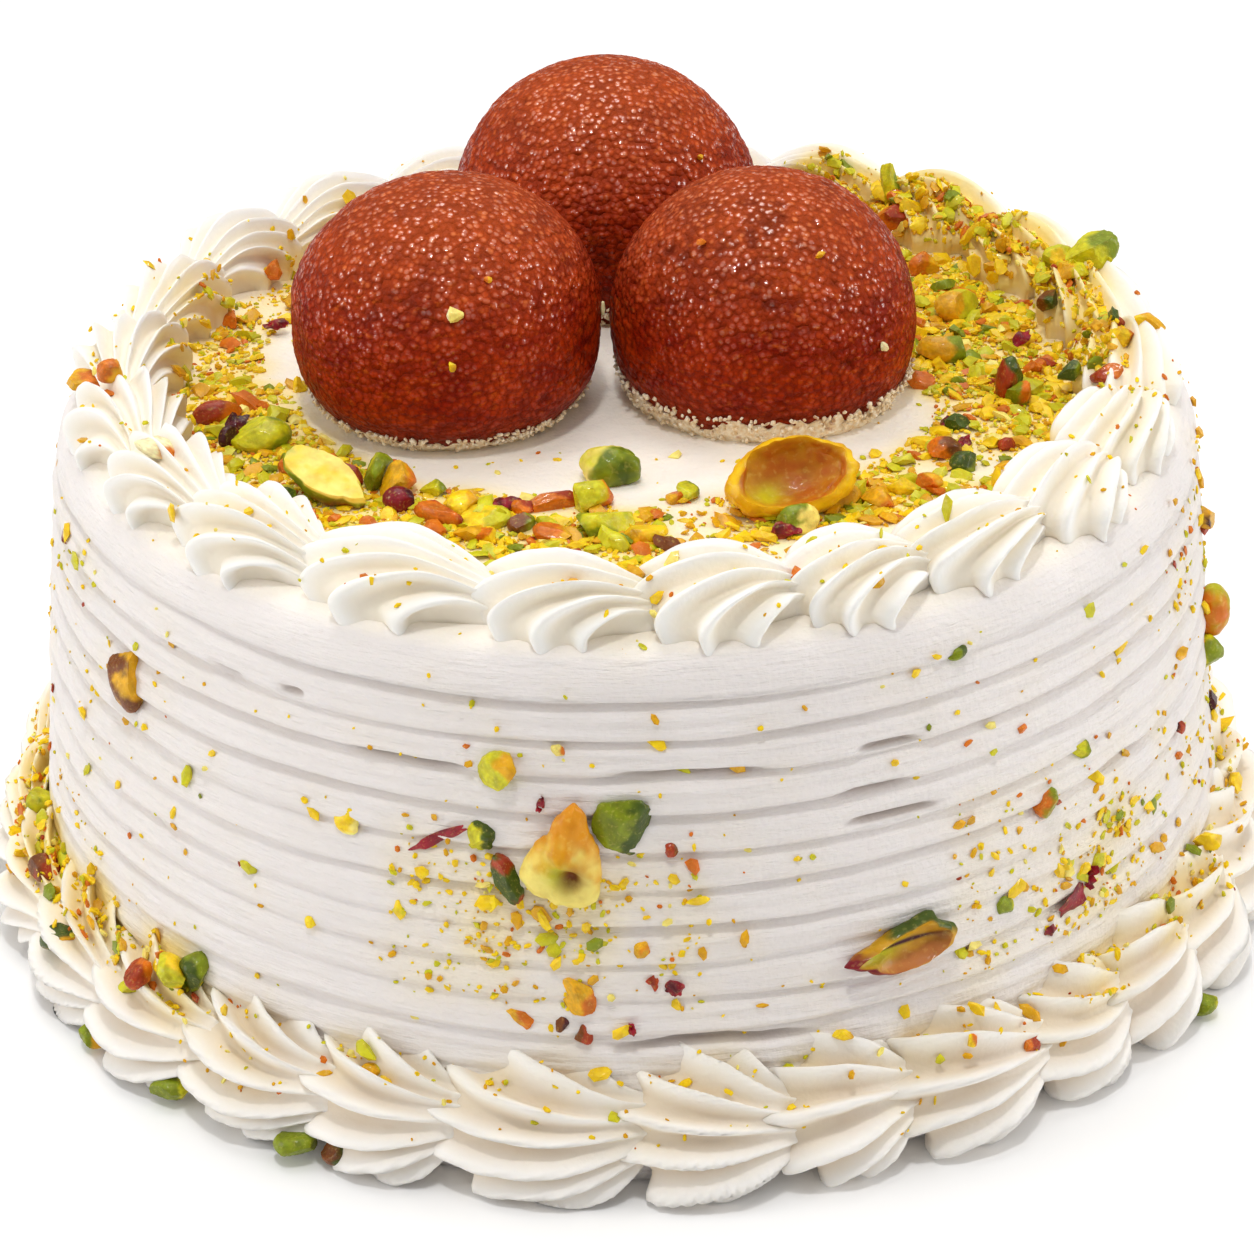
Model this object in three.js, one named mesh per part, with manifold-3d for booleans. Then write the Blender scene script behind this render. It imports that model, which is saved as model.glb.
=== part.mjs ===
// A round whipped cream cake, comb ridged at the side and bordered with piped shells at the rim and the foot.
// Three gulab jamuns stand on top, and chopped pistachios lie round them and cling to the side.
// Millimetres, +Z up. The origin is at the middle of the underside. -Y is the front.
import * as THREE from "three";
import { mergeVertices } from "three/addons/utils/BufferGeometryUtils.js";
import Module from "manifold-3d";

const wasm = await Module();
wasm.setup();

// The cream cake
const TOP_HEIGHT = 78.25; // the flat top, above the underside
const WALL_RADIUS = 84; // at the bottom of the highest groove
const WALL_FLARE = 0.1; // growth of the radius for each millimetre down
const RIM_RADIUS = 6.5; // rounding between the top and the side
const GROOVES = 10;
const GROOVE_PITCH = 5.5;
const GROOVE_DEPTH = 1.15;
const TOP_GROOVE_HEIGHT = 71.25;
const RIDGE_SHARES = [0.3, 0.72]; // of the pitch above a groove, where its ridge is full
const LAST_RIDGE_DROP = 3; // from the lowest groove down to the ridge under it
const RIM_TURNS = [15, 38, 62, 90]; // degrees round the rim's quarter circle
const WALL_SEGMENTS = 44;
const SEAT_GAP = 0.3; // between a piece and what carries it

// The gulab jamuns: two in front and one behind, each sunk on a wide flat spot
const BALLS = [
  // height: of the middle, above the cake's top. radius: level and upright
  { name: "gulab_jamun_left", centre: [-26.1, -5.5], height: 14.5, radius: [23.3, 20.3] },
  { name: "gulab_jamun_right", centre: [20.5, -1.8], height: 11.2, radius: [23.3, 22.5] },
  { name: "gulab_jamun_back", centre: [-2.8, 41.9], height: 11.2, radius: [24.5, 23.8] },
];
const BALL_UNEVEN = 0.35;
const BALL_UNEVEN_PITCH = 31;
const BALL_PHASE = 17; // how far the next ball's unevenness is shifted
const BALL_SEGMENTS = 18;
const BALL_ROWS = 11;

// The piped shells. Each runs clockwise seen from above, from its narrow tail to its round head.
const RIM_SHELL = {
  name: "rim_shell",
  count: 22,
  radius: 74.2, // of the ring that the shells stand on
  height: TOP_HEIGHT + SEAT_GAP,
  tilt: 0, // degrees that the shell leans out
  halfWidth: 8.9,
  rise: 8.3,
  neckHalfWidth: 2.9,
  neckRise: 4.4,
  ridges: 7,
  ridgeDepth: 1.05,
  steps: 4, // rows of facets between tail and outline
  frontTails: [-124.5, -103.8, -87.9, -72.5, -58.9, -42.5, -27.5, -11.7, 7.5], // degrees from +X
};
const FOOT_SHELL = {
  name: "foot_shell",
  count: 28,
  radius: 91.6,
  height: 8.6,
  tilt: 63,
  halfWidth: 9.2,
  rise: 5,
  neckHalfWidth: 4.6,
  neckRise: 3.2,
  ridges: 5,
  ridgeDepth: 1.2,
  steps: 3,
  frontTails: [-117.5, -106, -89.6, -77, -66.5, -53, -42, -31, -19.5, -6.5],
};
const SHELL_CROWDING = 1.15; // how much closer the rows are at the outline
const SHELL_SWEEP = 126; // degrees from the head's front to the last ridge, each way
const SHELL_HEAD = 0.44; // the head's radius as a share of the length
const SHELL_HIGHEST = 0.55; // share of the way from tail to outline where the dome is full
const SHELL_FALL = 0.42; // share where it begins to round down
const SHELL_RIDGES_FULL = 0.6; // share where the ridges have their whole depth
const SHELL_RIDGES_AT_TAIL = 0.3; // the part of their depth that they have at the tail
const SHELL_CENTRE = 0.52; // share of the length, the point that the ridges stand out from
const SHELL_LEAST_RISE = 0.2;
const SHELL_BEND = 1.5; // how far the middle of a shell may swing to a side
const SHELL_UNEVEN_RISE = 0.06;
const SHELL_UNEVEN_LEAN = 0.4;
const SHELL_GAP = 0.4; // between a tail and the next head
const FOOT_DEPTH_IN_WALL = 3; // how far a foot shell's body is drawn into the wall before it is cut

// Whole and half pistachio kernels: where each middle is, its half sizes and its turn
const KERNELS = [
  { name: "golden_pistachio", angle: -61.5, radius: 48.5, size: [9, 4.8, 5], turn: 12, colour: 0xc98a1a },
  { name: "split_pistachio", angle: -138.4, radius: 57, size: [6.4, 3.2, 3.2], turn: -38, colour: 0xb8b83a },
  { name: "green_pistachio", angle: -94, radius: 33, size: [4, 2.7, 2.6], turn: -12, colour: 0x5f8a25 },
  { name: "side_kernel", angle: -96, height: 49.3, size: [4.6, 6.6, 2.3], turn: -18, colour: 0xc9a227 },
  { name: "side_half_kernel", angle: -65.8, height: 31.2, size: [7, 3, 2.2], turn: 10, colour: 0x8a7a2a },
  { name: "edge_kernel", angle: -9, height: 45.8, size: [2.8, 4, 2.4], turn: 8, colour: 0x9a6a22 },
];
const KERNEL_SEGMENTS = 9;
const KERNEL_ROWS = 6;
const KERNEL_TAPER = 0.16; // how much slimmer the tip is than the middle
const KERNEL_CLEFT = 0.22; // depth of the cleft, as a share of the half height
const KERNEL_CLEFT_WIDTH = 0.3; // of the half width
const KERNEL_CLEFT_FROM = 0.5; // share of the half height above which the cleft shows
const KERNEL_REST = 0.55; // share of the half height from the middle to the flat that it rests on

// The largest chopped pieces fused to the cream, on the top by radius and on the side by height
const LARGE_CHUNKS = [
  { angle: -160, radius: 56.5, size: [4.2, 2.8, 2.2], turn: 20 },
  { angle: -97.5, radius: 41, size: [3, 2.2, 2.2], turn: 40 },
  { angle: -94.5, radius: 50, size: [2.8, 2.2, 2], turn: -20 },
  { angle: -6, radius: 57, size: [3.2, 2.3, 2.8], turn: 70 },
  { angle: 8.5, radius: 49, size: [3, 2.2, 2], turn: 10 },
  { angle: 24, radius: 56, size: [3.4, 2.6, 2.4], turn: 50 },
  { angle: 44, radius: 55, size: [3, 2.4, 2.2], turn: 0 },
  { angle: -91, height: 54.5, size: [3.2, 4.2, 1.8], turn: 0 },
  { angle: -144, height: 57.6, size: [3.1, 4.2, 2], turn: 10 },
  { angle: -101.4, height: 61.4, size: [2.4, 2.4, 1.8], turn: 0 },
  { angle: -103.4, height: 51, size: [1.8, 2.6, 1.6], turn: 15 },
  { angle: -101.3, height: 45.1, size: [2, 3.1, 1.7], turn: 25 },
  { angle: -94.8, height: 28.1, size: [1.9, 2.8, 1.4], turn: 0 },
  { angle: -107.1, height: 50.5, size: [4.2, 1.1, 1], turn: 33 },
  { angle: -49.1, height: 44.5, size: [1.9, 2, 1.7], turn: 0 },
  { angle: -44.9, height: 24.6, size: [2.6, 1.8, 1.3], turn: 25 },
];

// Smaller chopped nuts and petals, by field: angles in degrees, radii or heights, count and half sizes
const TOP_FIELDS = [
  { from: -178, to: -150, inner: 51, outer: 61.5, count: 5, least: 1.3, most: 2.6 },
  { from: -150, to: -112, inner: 46, outer: 61.5, count: 5, least: 1.2, most: 2.4 },
  { from: -112, to: -72, inner: 40, outer: 61, count: 6, least: 1.2, most: 2.4 },
  { from: -50, to: 5, inner: 47, outer: 61.5, count: 7, least: 1.3, most: 2.6 },
  { from: 5, to: 60, inner: 43, outer: 61.5, count: 8, least: 1.3, most: 2.6 },
  { from: 60, to: 178, inner: 53, outer: 61.5, count: 6, least: 1.2, most: 2.4 },
];
const SIDE_FIELDS = [
  { from: -112, to: -84, low: 24, high: 62, count: 4, least: 1.2, most: 2 },
  { from: -150, to: -112, low: 28, high: 66, count: 2, least: 1.2, most: 2 },
  { from: -70, to: -20, low: 26, high: 64, count: 4, least: 1.2, most: 2.2 },
  { from: -20, to: 200, low: 26, high: 64, count: 7, least: 1.4, most: 2.8 },
];
const CHUNK_CLEARANCE = 0.8;
const CHUNK_SUNK = 0.35; // share of a chunk's height that is in the cream
const CHUNK_UNEVEN = 0.2;
const CHUNK_ROUND_FROM = 2.15; // half size from which a chunk has twenty faces and not eight
const TRIES_FOR_EACH = 60;

const CREAM = { color: 0xf4f0ea, roughness: 0.55, metalness: 0 };
const PIPED_CREAM = { color: 0xf6f1e6, roughness: 0.5, metalness: 0 };
const SYRUPED_CRUST = { color: 0x7a2410, roughness: 0.3, metalness: 0 };
const PISTACHIO_ROUGHNESS = 0.45;

const RAD = Math.PI / 180;

// A small seeded source of even random numbers from 0 to 1.
function seeded(seed) {
  let state = seed;
  return () => {
    state = (state + 0x6d2b79f5) | 0;
    let t = Math.imul(state ^ (state >>> 15), 1 | state);
    t = (t + Math.imul(t ^ (t >>> 7), 61 | t)) ^ t;
    return ((t ^ (t >>> 14)) >>> 0) / 4294967296;
  };
}

// Smooth unevenness of about -1 to 1, as a sum of waves across the point.
function waves(x, y, z, pitch) {
  const k = (2 * Math.PI) / pitch;
  return (
    (Math.sin(k * (x + 0.6 * z) + 1.3) +
      Math.sin(k * (0.8 * y - 0.7 * x) + 2.1) +
      Math.sin(k * (z + 0.5 * y) + 0.4)) /
    3
  );
}

function toSolid(geometry) {
  const bare = geometry.clone();
  bare.deleteAttribute("normal");
  bare.deleteAttribute("uv");
  const merged = mergeVertices(bare, 1e-3);
  return new wasm.Manifold(
    new wasm.Mesh({
      numProp: 3,
      vertProperties: merged.attributes.position.array,
      triVerts: new Uint32Array(merged.index.array),
    }),
  );
}

function toGeometry(solid) {
  const mesh = solid.getMesh();
  const geometry = new THREE.BufferGeometry();
  geometry.setAttribute("position", new THREE.BufferAttribute(mesh.vertProperties, 3));
  geometry.setIndex(new THREE.BufferAttribute(mesh.triVerts, 1));
  geometry.computeVertexNormals();
  return geometry;
}

function largestBody(solid) {
  return solid.decompose().reduce((a, b) => (a.volume() > b.volume() ? a : b));
}

function surface(look) {
  return new THREE.MeshStandardMaterial(look);
}

function wallRadiusAt(height) {
  return WALL_RADIUS + WALL_FLARE * (TOP_GROOVE_HEIGHT - height);
}

// The side's outline from the middle of the underside up to the middle of the top.
// Below the rim's quarter round come the grooves, with a broad rounded ridge between each two.
function cakeOutline(grow) {
  const outline = [new THREE.Vector2(0, 0), new THREE.Vector2(wallRadiusAt(0) + grow, 0)];
  const lowest = TOP_GROOVE_HEIGHT - (GROOVES - 1) * GROOVE_PITCH;
  const last = lowest - LAST_RIDGE_DROP;
  outline.push(new THREE.Vector2(wallRadiusAt(last) + GROOVE_DEPTH + grow, last));
  for (let i = GROOVES - 1; i >= 0; i--) {
    const z = TOP_GROOVE_HEIGHT - i * GROOVE_PITCH;
    outline.push(new THREE.Vector2(wallRadiusAt(z) + grow, z));
    if (i === 0) break;
    for (const share of RIDGE_SHARES) {
      const ridge = z + share * GROOVE_PITCH;
      outline.push(new THREE.Vector2(wallRadiusAt(ridge) + GROOVE_DEPTH + grow, ridge));
    }
  }
  const shoulder = WALL_RADIUS + GROOVE_DEPTH / 2 + grow;
  for (const turn of RIM_TURNS) {
    outline.push(
      new THREE.Vector2(
        shoulder - RIM_RADIUS * (1 - Math.cos(turn * RAD)),
        TOP_HEIGHT + grow - RIM_RADIUS * (1 - Math.sin(turn * RAD)),
      ),
    );
  }
  outline.push(new THREE.Vector2(0, TOP_HEIGHT + grow));
  return outline;
}

function latheUp(outline, segments) {
  return new THREE.LatheGeometry(outline, segments).rotateX(Math.PI / 2);
}

// A chopped piece: a many-sided lump with uneven corners, flattest across its third size.
function chunkGeometry(random, size, detail) {
  const geometry = detail ? new THREE.IcosahedronGeometry(1, 0) : new THREE.OctahedronGeometry(1, 0);
  geometry.deleteAttribute("normal");
  geometry.deleteAttribute("uv");
  const merged = mergeVertices(geometry, 1e-3);
  const p = merged.attributes.position;
  for (let i = 0; i < p.count; i++) {
    const swell = 1 + CHUNK_UNEVEN * (2 * random() - 1);
    p.setXYZ(i, p.getX(i) * size[0] * swell, p.getY(i) * size[1] * swell, p.getZ(i) * size[2] * swell);
  }
  return merged;
}

// Turns a piece whose own up is +Z and whose width is X to lie on the top or against the side.
function placeOnTop(geometry, angle, radius, turn, lift) {
  return geometry
    .rotateZ(turn)
    .translate(radius * Math.cos(angle), radius * Math.sin(angle), TOP_HEIGHT + lift);
}

function placeOnSide(geometry, angle, height, turn, lift) {
  return geometry
    .rotateZ(turn)
    .rotateX(Math.PI / 2)
    .rotateZ(Math.PI / 2)
    .rotateZ(angle)
    .translate(
      (wallRadiusAt(height) + lift) * Math.cos(angle),
      (wallRadiusAt(height) + lift) * Math.sin(angle),
      height,
    );
}

// The chopped pieces that lie on the cream. The small ones keep clear of all that is there already.
function choppedPieces(random) {
  const pieces = [];
  const taken = [];
  const spot = ({ angle, radius, height }) => [
    (radius ?? wallRadiusAt(height)) * Math.cos(angle * RAD),
    (radius ?? wallRadiusAt(height)) * Math.sin(angle * RAD),
    height ?? TOP_HEIGHT,
  ];
  const lay = (piece, detail) => {
    taken.push([...spot(piece), Math.max(...piece.size)]);
    const geometry = chunkGeometry(random, piece.size, detail);
    const lift = piece.size[2] * (1 - 2 * CHUNK_SUNK);
    pieces.push(
      piece.height === undefined
        ? placeOnTop(geometry, piece.angle * RAD, piece.radius, piece.turn * RAD, lift)
        : placeOnSide(geometry, piece.angle * RAD, piece.height, piece.turn * RAD, lift + GROOVE_DEPTH / 2),
    );
  };
  for (const { centre, radius } of BALLS) taken.push([...centre, TOP_HEIGHT, radius[0]]);
  for (const kernel of KERNELS) taken.push([...spot(kernel), Math.max(...kernel.size)]);
  for (const piece of LARGE_CHUNKS) lay(piece, true);
  for (const field of [...TOP_FIELDS, ...SIDE_FIELDS]) {
    let placed = 0;
    for (let tries = 0; placed < field.count && tries < TRIES_FOR_EACH * field.count; tries++) {
      const half = field.least + (field.most - field.least) * random();
      const size = [half * (1.1 + 0.4 * random()), half, half * (0.6 + 0.3 * random())];
      const piece = { angle: field.from + (field.to - field.from) * random(), size, turn: 360 * random() };
      const across = random();
      if (field.inner === undefined) piece.height = field.low + (field.high - field.low) * across;
      else piece.radius = field.inner + size[0] + (field.outer - field.inner - 2 * size[0]) * across;
      const [x, y, z] = spot(piece);
      const clear = ([a, b, c, r]) => Math.hypot(x - a, y - b, z - c) > r + size[0] + CHUNK_CLEARANCE;
      if (!taken.every(clear)) continue;
      lay(piece, half > CHUNK_ROUND_FROM);
      placed++;
    }
  }
  return pieces;
}

function cakeMesh() {
  const cream = toSolid(latheUp(cakeOutline(0), WALL_SEGMENTS));
  const pieces = choppedPieces(seeded(11)).map(toSolid);
  const joined = pieces.reduce((whole, piece) => whole.add(piece), cream);
  const mesh = new THREE.Mesh(toGeometry(largestBody(joined)), surface(CREAM));
  mesh.name = "cake_body";
  return mesh;
}

// A ball, a little uneven, whose underside is flat where it rests.
function ballMesh({ name, centre, height, radius }, i) {
  const [level, upright] = radius;
  const geometry = new THREE.SphereGeometry(level, BALL_SEGMENTS, BALL_ROWS)
    .rotateX(Math.PI / 2)
    .scale(1, 1, upright / level);
  const p = geometry.attributes.position;
  const phase = i * BALL_PHASE;
  const floor = SEAT_GAP - height;
  for (let j = 0; j < p.count; j++) {
    const at = new THREE.Vector3().fromBufferAttribute(p, j);
    const swell = 1 + (BALL_UNEVEN / level) * (waves(at.x + phase, at.y, at.z, BALL_UNEVEN_PITCH) - 1);
    p.setXYZ(j, at.x * swell, at.y * swell, Math.max(at.z * swell, floor));
  }
  const mesh = new THREE.Mesh(toGeometry(toSolid(geometry)), surface(SYRUPED_CRUST));
  mesh.name = name;
  mesh.position.set(...centre, TOP_HEIGHT + height);
  return mesh;
}

// Joins rows of points into a closed body: row 0 is the tail, the last row the outline, and the
// underside is a fan from one point.
function closedFan(rows, under) {
  const across = rows[0].length;
  const points = [...rows.flat(), under];
  const faces = [];
  const id = (row, column) => row * across + column;
  for (let j = 0; j + 1 < rows.length; j++)
    for (let k = 0; k + 1 < across; k++)
      faces.push(id(j, k), id(j + 1, k), id(j + 1, k + 1), id(j, k), id(j + 1, k + 1), id(j, k + 1));
  const rim = [];
  for (let j = 0; j + 1 < rows.length; j++) rim.push(id(j, 0));
  for (let k = 0; k + 1 < across; k++) rim.push(id(rows.length - 1, k));
  for (let j = rows.length - 1; j > 0; j--) rim.push(id(j, across - 1));
  for (let k = across - 1; k > 0; k--) rim.push(id(0, k));
  rim.forEach((point, i) => faces.push(points.length - 1, rim[(i + 1) % rim.length], point));
  const geometry = new THREE.BufferGeometry();
  geometry.setAttribute("position", new THREE.Float32BufferAttribute(points.flat(), 3));
  geometry.setIndex(faces);
  return geometry;
}

// One piped shell. In its own frame it runs along x from its tail at 0 to its head's front at
// `length`, y is its width and h its height. Its ridges are meridians that fan out from the tail over
// a dome and end in the lobes of the outline. Crests stand out from the dome and valleys lie in it.
function shellPoint(kind, length, bend, share, t) {
  const sweep = share * SHELL_SWEEP * RAD; // 0 at the head's front
  const headRadius = SHELL_HEAD * length;
  const end = [length - headRadius + headRadius * Math.cos(sweep), kind.halfWidth * Math.sin(sweep)];
  const start = [0, kind.neckHalfWidth * Math.sin(share * 90 * RAD)];
  const swing = bend * Math.sin(Math.PI * t) * (1 - share * share);
  const dome = Math.sqrt(Math.max(0, 1 - share * share));
  const fallen = Math.max(0, (t - SHELL_FALL) / (1 - SHELL_FALL));
  const fall = Math.sqrt(Math.max(0, 1 - fallen ** 2));
  const climbed = Math.sin(Math.min(1, t / SHELL_HIGHEST) * 90 * RAD);
  const climb = kind.neckRise + (kind.rise - kind.neckRise) * climbed;
  return [
    start[0] + (end[0] - start[0]) * t,
    start[1] + (end[1] - start[1]) * t + swing,
    dome * fall * climb,
  ];
}

function shellRows(kind, length, bend) {
  const rows = [];
  const columns = 2 * kind.ridges;
  for (let j = 0; j <= kind.steps; j++) {
    const t = Math.sin((j / kind.steps) * 90 * RAD) ** SHELL_CROWDING;
    const row = [];
    for (let k = 0; k <= columns; k++) {
      const share = (2 * k) / columns - 1;
      const at = shellPoint(kind, length, bend, share, t);
      const grown = Math.min(1, t / SHELL_RIDGES_FULL);
      const ofDepth = SHELL_RIDGES_AT_TAIL + (1 - SHELL_RIDGES_AT_TAIL) * grown;
      const depth = kind.ridgeDepth * ofDepth * (k % 2 ? 1 : -1);
      const out = new THREE.Vector3(at[0] - SHELL_CENTRE * length, at[1], at[2]).normalize();
      const ended = j === kind.steps || k === 0 || k === columns;
      row.push([
        Math.min(Math.max(at[0] + (j ? out.x * depth : 0), 0), length),
        at[1] + out.y * depth,
        ended ? 0 : Math.max(at[2] + out.z * depth, SHELL_LEAST_RISE),
      ]);
    }
    rows.push(row);
  }
  return rows;
}

// Bends a shell's own frame round the cake: x runs clockwise, y outwards and down by the tilt.
function ontoRing(kind, tail, lean) {
  const [c, s] = [Math.cos(kind.tilt * RAD), Math.sin(kind.tilt * RAD)];
  return ([x, y, h]) => {
    const radius = kind.radius + lean + y * c + h * s;
    const height = Math.max(kind.height - y * s + h * c, 0);
    const angle = tail - x / kind.radius;
    return [radius * Math.cos(angle), radius * Math.sin(angle), height];
  };
}

// The angles of the tails: the front ones as placed, and the rest evenly round the back.
function tailAngles(kind) {
  const front = kind.frontTails;
  const rest = kind.count - front.length;
  const left = front[0] + 360 - front[front.length - 1];
  const back = Array.from({ length: rest }, (_, i) => front[front.length - 1] + (left * (i + 1)) / (rest + 1));
  return [...front, ...back];
}

function shellMeshes(kind, look, seed) {
  const random = seeded(seed);
  const tails = tailAngles(kind);
  const wall = kind.tilt ? toSolid(latheUp(cakeOutline(SEAT_GAP), WALL_SEGMENTS)) : undefined;
  return tails.map((tail, i) => {
    const before = i ? tails[i - 1] : tails[tails.length - 1] - 360;
    const length = (tail - before) * RAD * kind.radius - SHELL_GAP;
    const bend = SHELL_BEND * (2 * random() - 1);
    const uneven = { ...kind, rise: kind.rise * (1 + SHELL_UNEVEN_RISE * (2 * random() - 1)) };
    const place = ontoRing(uneven, tail * RAD, SHELL_UNEVEN_LEAN * (2 * random() - 1));
    const rows = shellRows(uneven, length, bend).map((row) => row.map(place));
    let under = place([length / 2, 0, 0]);
    if (kind.tilt) {
      const reach = (wallRadiusAt(0) - FOOT_DEPTH_IN_WALL) / Math.hypot(under[0], under[1]);
      under = [under[0] * reach, under[1] * reach, 0];
    }
    let solid = toSolid(closedFan(rows, under));
    if (wall) solid = largestBody(solid.subtract(wall));
    const mesh = new THREE.Mesh(toGeometry(solid), surface(look));
    mesh.name = `${kind.name}_${String(i + 1).padStart(2, "0")}`;
    return mesh;
  });
}

// A pistachio kernel: a long drop with a cleft down its middle, flat where it rests.
function kernelMesh(kernel) {
  const geometry = new THREE.SphereGeometry(1, KERNEL_SEGMENTS, KERNEL_ROWS).rotateZ(Math.PI / 2);
  const p = geometry.attributes.position;
  const [a, b, c] = kernel.size;
  for (let i = 0; i < p.count; i++) {
    const [x, y, z] = [p.getX(i), p.getY(i), p.getZ(i)];
    const taper = 1 - KERNEL_TAPER * x;
    const cleft = z > KERNEL_CLEFT_FROM ? 1 - KERNEL_CLEFT * Math.exp(-((y / KERNEL_CLEFT_WIDTH) ** 2)) : 1;
    p.setXYZ(i, x * a, y * b * taper, Math.max(z * c * taper * cleft, -KERNEL_REST * c));
  }
  const onSide = kernel.height !== undefined;
  const lift = KERNEL_REST * c + SEAT_GAP + (onSide ? GROOVE_DEPTH + SEAT_GAP : 0);
  if (onSide) placeOnSide(geometry, kernel.angle * RAD, kernel.height, kernel.turn * RAD, lift);
  else placeOnTop(geometry, kernel.angle * RAD, kernel.radius, kernel.turn * RAD, lift);
  const look = { color: kernel.colour, roughness: PISTACHIO_ROUGHNESS, metalness: 0 };
  const mesh = new THREE.Mesh(toGeometry(toSolid(geometry)), surface(look));
  mesh.name = kernel.name;
  return mesh;
}

const cake = new THREE.Group();
cake.add(cakeMesh());
cake.add(...BALLS.map(ballMesh));
cake.add(...shellMeshes(RIM_SHELL, PIPED_CREAM, 21));
cake.add(...shellMeshes(FOOT_SHELL, PIPED_CREAM, 34));
cake.add(...KERNELS.map(kernelMesh));

export default cake;
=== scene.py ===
from math import cos, pi, radians, sin, sqrt

import bpy
import numpy as np
from mathutils import Matrix, Vector


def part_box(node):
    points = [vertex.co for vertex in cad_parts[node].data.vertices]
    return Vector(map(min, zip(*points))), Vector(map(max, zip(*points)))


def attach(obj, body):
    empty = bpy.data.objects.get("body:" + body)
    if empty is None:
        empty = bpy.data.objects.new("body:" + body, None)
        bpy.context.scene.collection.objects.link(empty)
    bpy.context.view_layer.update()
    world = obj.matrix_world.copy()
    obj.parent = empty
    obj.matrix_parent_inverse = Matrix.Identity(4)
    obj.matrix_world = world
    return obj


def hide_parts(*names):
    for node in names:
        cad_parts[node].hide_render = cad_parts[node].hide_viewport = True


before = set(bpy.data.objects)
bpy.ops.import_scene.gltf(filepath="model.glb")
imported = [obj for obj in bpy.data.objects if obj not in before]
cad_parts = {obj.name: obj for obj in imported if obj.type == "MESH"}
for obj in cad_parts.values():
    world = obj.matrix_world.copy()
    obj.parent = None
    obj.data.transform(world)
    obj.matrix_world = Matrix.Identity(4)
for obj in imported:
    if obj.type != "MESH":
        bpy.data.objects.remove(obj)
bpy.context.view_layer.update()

mm = 0.001  # lengths here are in millimetres, and finished meshes are in metres
tau = 2 * pi

# Camera, set to the photograph's viewing angle. It looks along +Y, down onto the cake's front.
camera = {
    "distance": 600,
    "elevation": 28.36,  # degrees above level
    "aimHeight": 40,
    "roll": -0.8,
    "lens": 111.81,
    "sensor": 36,
    "shift": (-0.0016, -0.0156),
}

# Even noise and colours


def cornerValue(i, j, k, seed):
    # an even random number from 0 to 1 for each whole-number corner
    n = (i * 73856093) ^ (j * 19349663) ^ (k * 83492791) ^ (seed * 2971215073)
    n = ((n ^ (n >> 13)) * 1274126177) & 0xFFFFFFFF
    n = ((n ^ (n >> 15)) * 2246822519) & 0xFFFFFFFF
    return ((n ^ (n >> 13)) & 0xFFFF) / 65535


def noise(x, y, z, pitch, seed=0):
    # smooth noise from -1 to 1: corner values blended by 3f^2 - 2f^3 along each axis
    x, y, z = np.broadcast_arrays(*(np.asarray(v, float) / pitch for v in (x, y, z)))
    cells = [np.floor(v).astype(np.int64) for v in (x, y, z)]
    u, v, w = ((a - c) ** 2 * (3 - 2 * (a - c)) for a, c in zip((x, y, z), cells))
    total = 0
    for di in (0, 1):
        for dj in (0, 1):
            for dk in (0, 1):
                corner = cornerValue(cells[0] + di, cells[1] + dj, cells[2] + dk, seed)
                total = total + corner * (u if di else 1 - u) * (v if dj else 1 - v) * (w if dk else 1 - w)
    return 2 * total - 1


def linear(red, green, blue):
    # a screen colour of 0 to 255 as the linear colour that shaders take
    screen = np.array([red, green, blue]) / 255
    return np.where(screen <= 0.04045, screen / 12.92, ((screen + 0.055) / 1.055) ** 2.4)


def smoothStep(low, high, value):
    # 0 up to low, 1 from high on, and 3s^2 - 2s^3 between them
    share = np.clip((value - low) / (high - low), 0, 1)
    return share * share * (3 - 2 * share)


def unit(vectors):
    # each vector over its length
    return vectors / np.maximum(np.linalg.norm(vectors, axis=-1, keepdims=True), 1e-9)


# Meshes


def gridFaces(rows, columns, closed=False, first=0):
    # four-sided faces between neighbouring rows and columns, and round the back if closed
    j, k = np.meshgrid(np.arange(rows - 1), np.arange(columns if closed else columns - 1), indexing="ij")
    after = (k + 1) % columns
    corners = (j * columns + k, (j + 1) * columns + k, (j + 1) * columns + after, j * columns + after)
    return first + np.stack(corners, -1).reshape(-1, 4)


def fanFaces(centre, loop):
    # triangles from one point to a closed loop
    return np.stack([np.full(len(loop), centre), np.roll(loop, -1), loop], -1)


def newPiece(name, points, faces, material, slotName, tint=None, sharpFrom=None, **values):
    # a mesh on body root from points in millimetres and lists of faces, with its attributes
    mesh = bpy.data.meshes.new(name)
    mesh.vertices.add(len(points))
    mesh.vertices.foreach_set("co", (points * mm).astype(np.float32).ravel())
    counts = np.concatenate([np.full(len(part), part.shape[1]) for part in faces])
    corners = np.concatenate([part.ravel() for part in faces]).astype(np.int32)
    mesh.loops.add(len(corners))
    mesh.loops.foreach_set("vertex_index", corners)
    mesh.polygons.add(len(counts))
    mesh.polygons.foreach_set("loop_start", (np.cumsum(counts) - counts).astype(np.int32))
    mesh.update(calc_edges=True)
    mesh.validate()
    if tint is not None:
        colours = np.concatenate([tint, np.ones((len(points), 1))], 1).astype(np.float32)
        layer = mesh.color_attributes.new("tint", "FLOAT_COLOR", "POINT")
        layer.data.foreach_set("color", colours.ravel())
    for key, numbers in values.items():
        layer = mesh.attributes.new(key, "FLOAT", "POINT")
        layer.data.foreach_set("value", np.asarray(numbers, np.float32).ravel())
    mesh.shade_smooth()
    if sharpFrom:
        mesh.set_sharp_from_angle(angle=radians(sharpFrom))
    mesh.materials.append(material)
    piece = bpy.data.objects.new(name, mesh)
    bpy.context.scene.collection.objects.link(piece)
    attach(piece, "root")
    return piece


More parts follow.
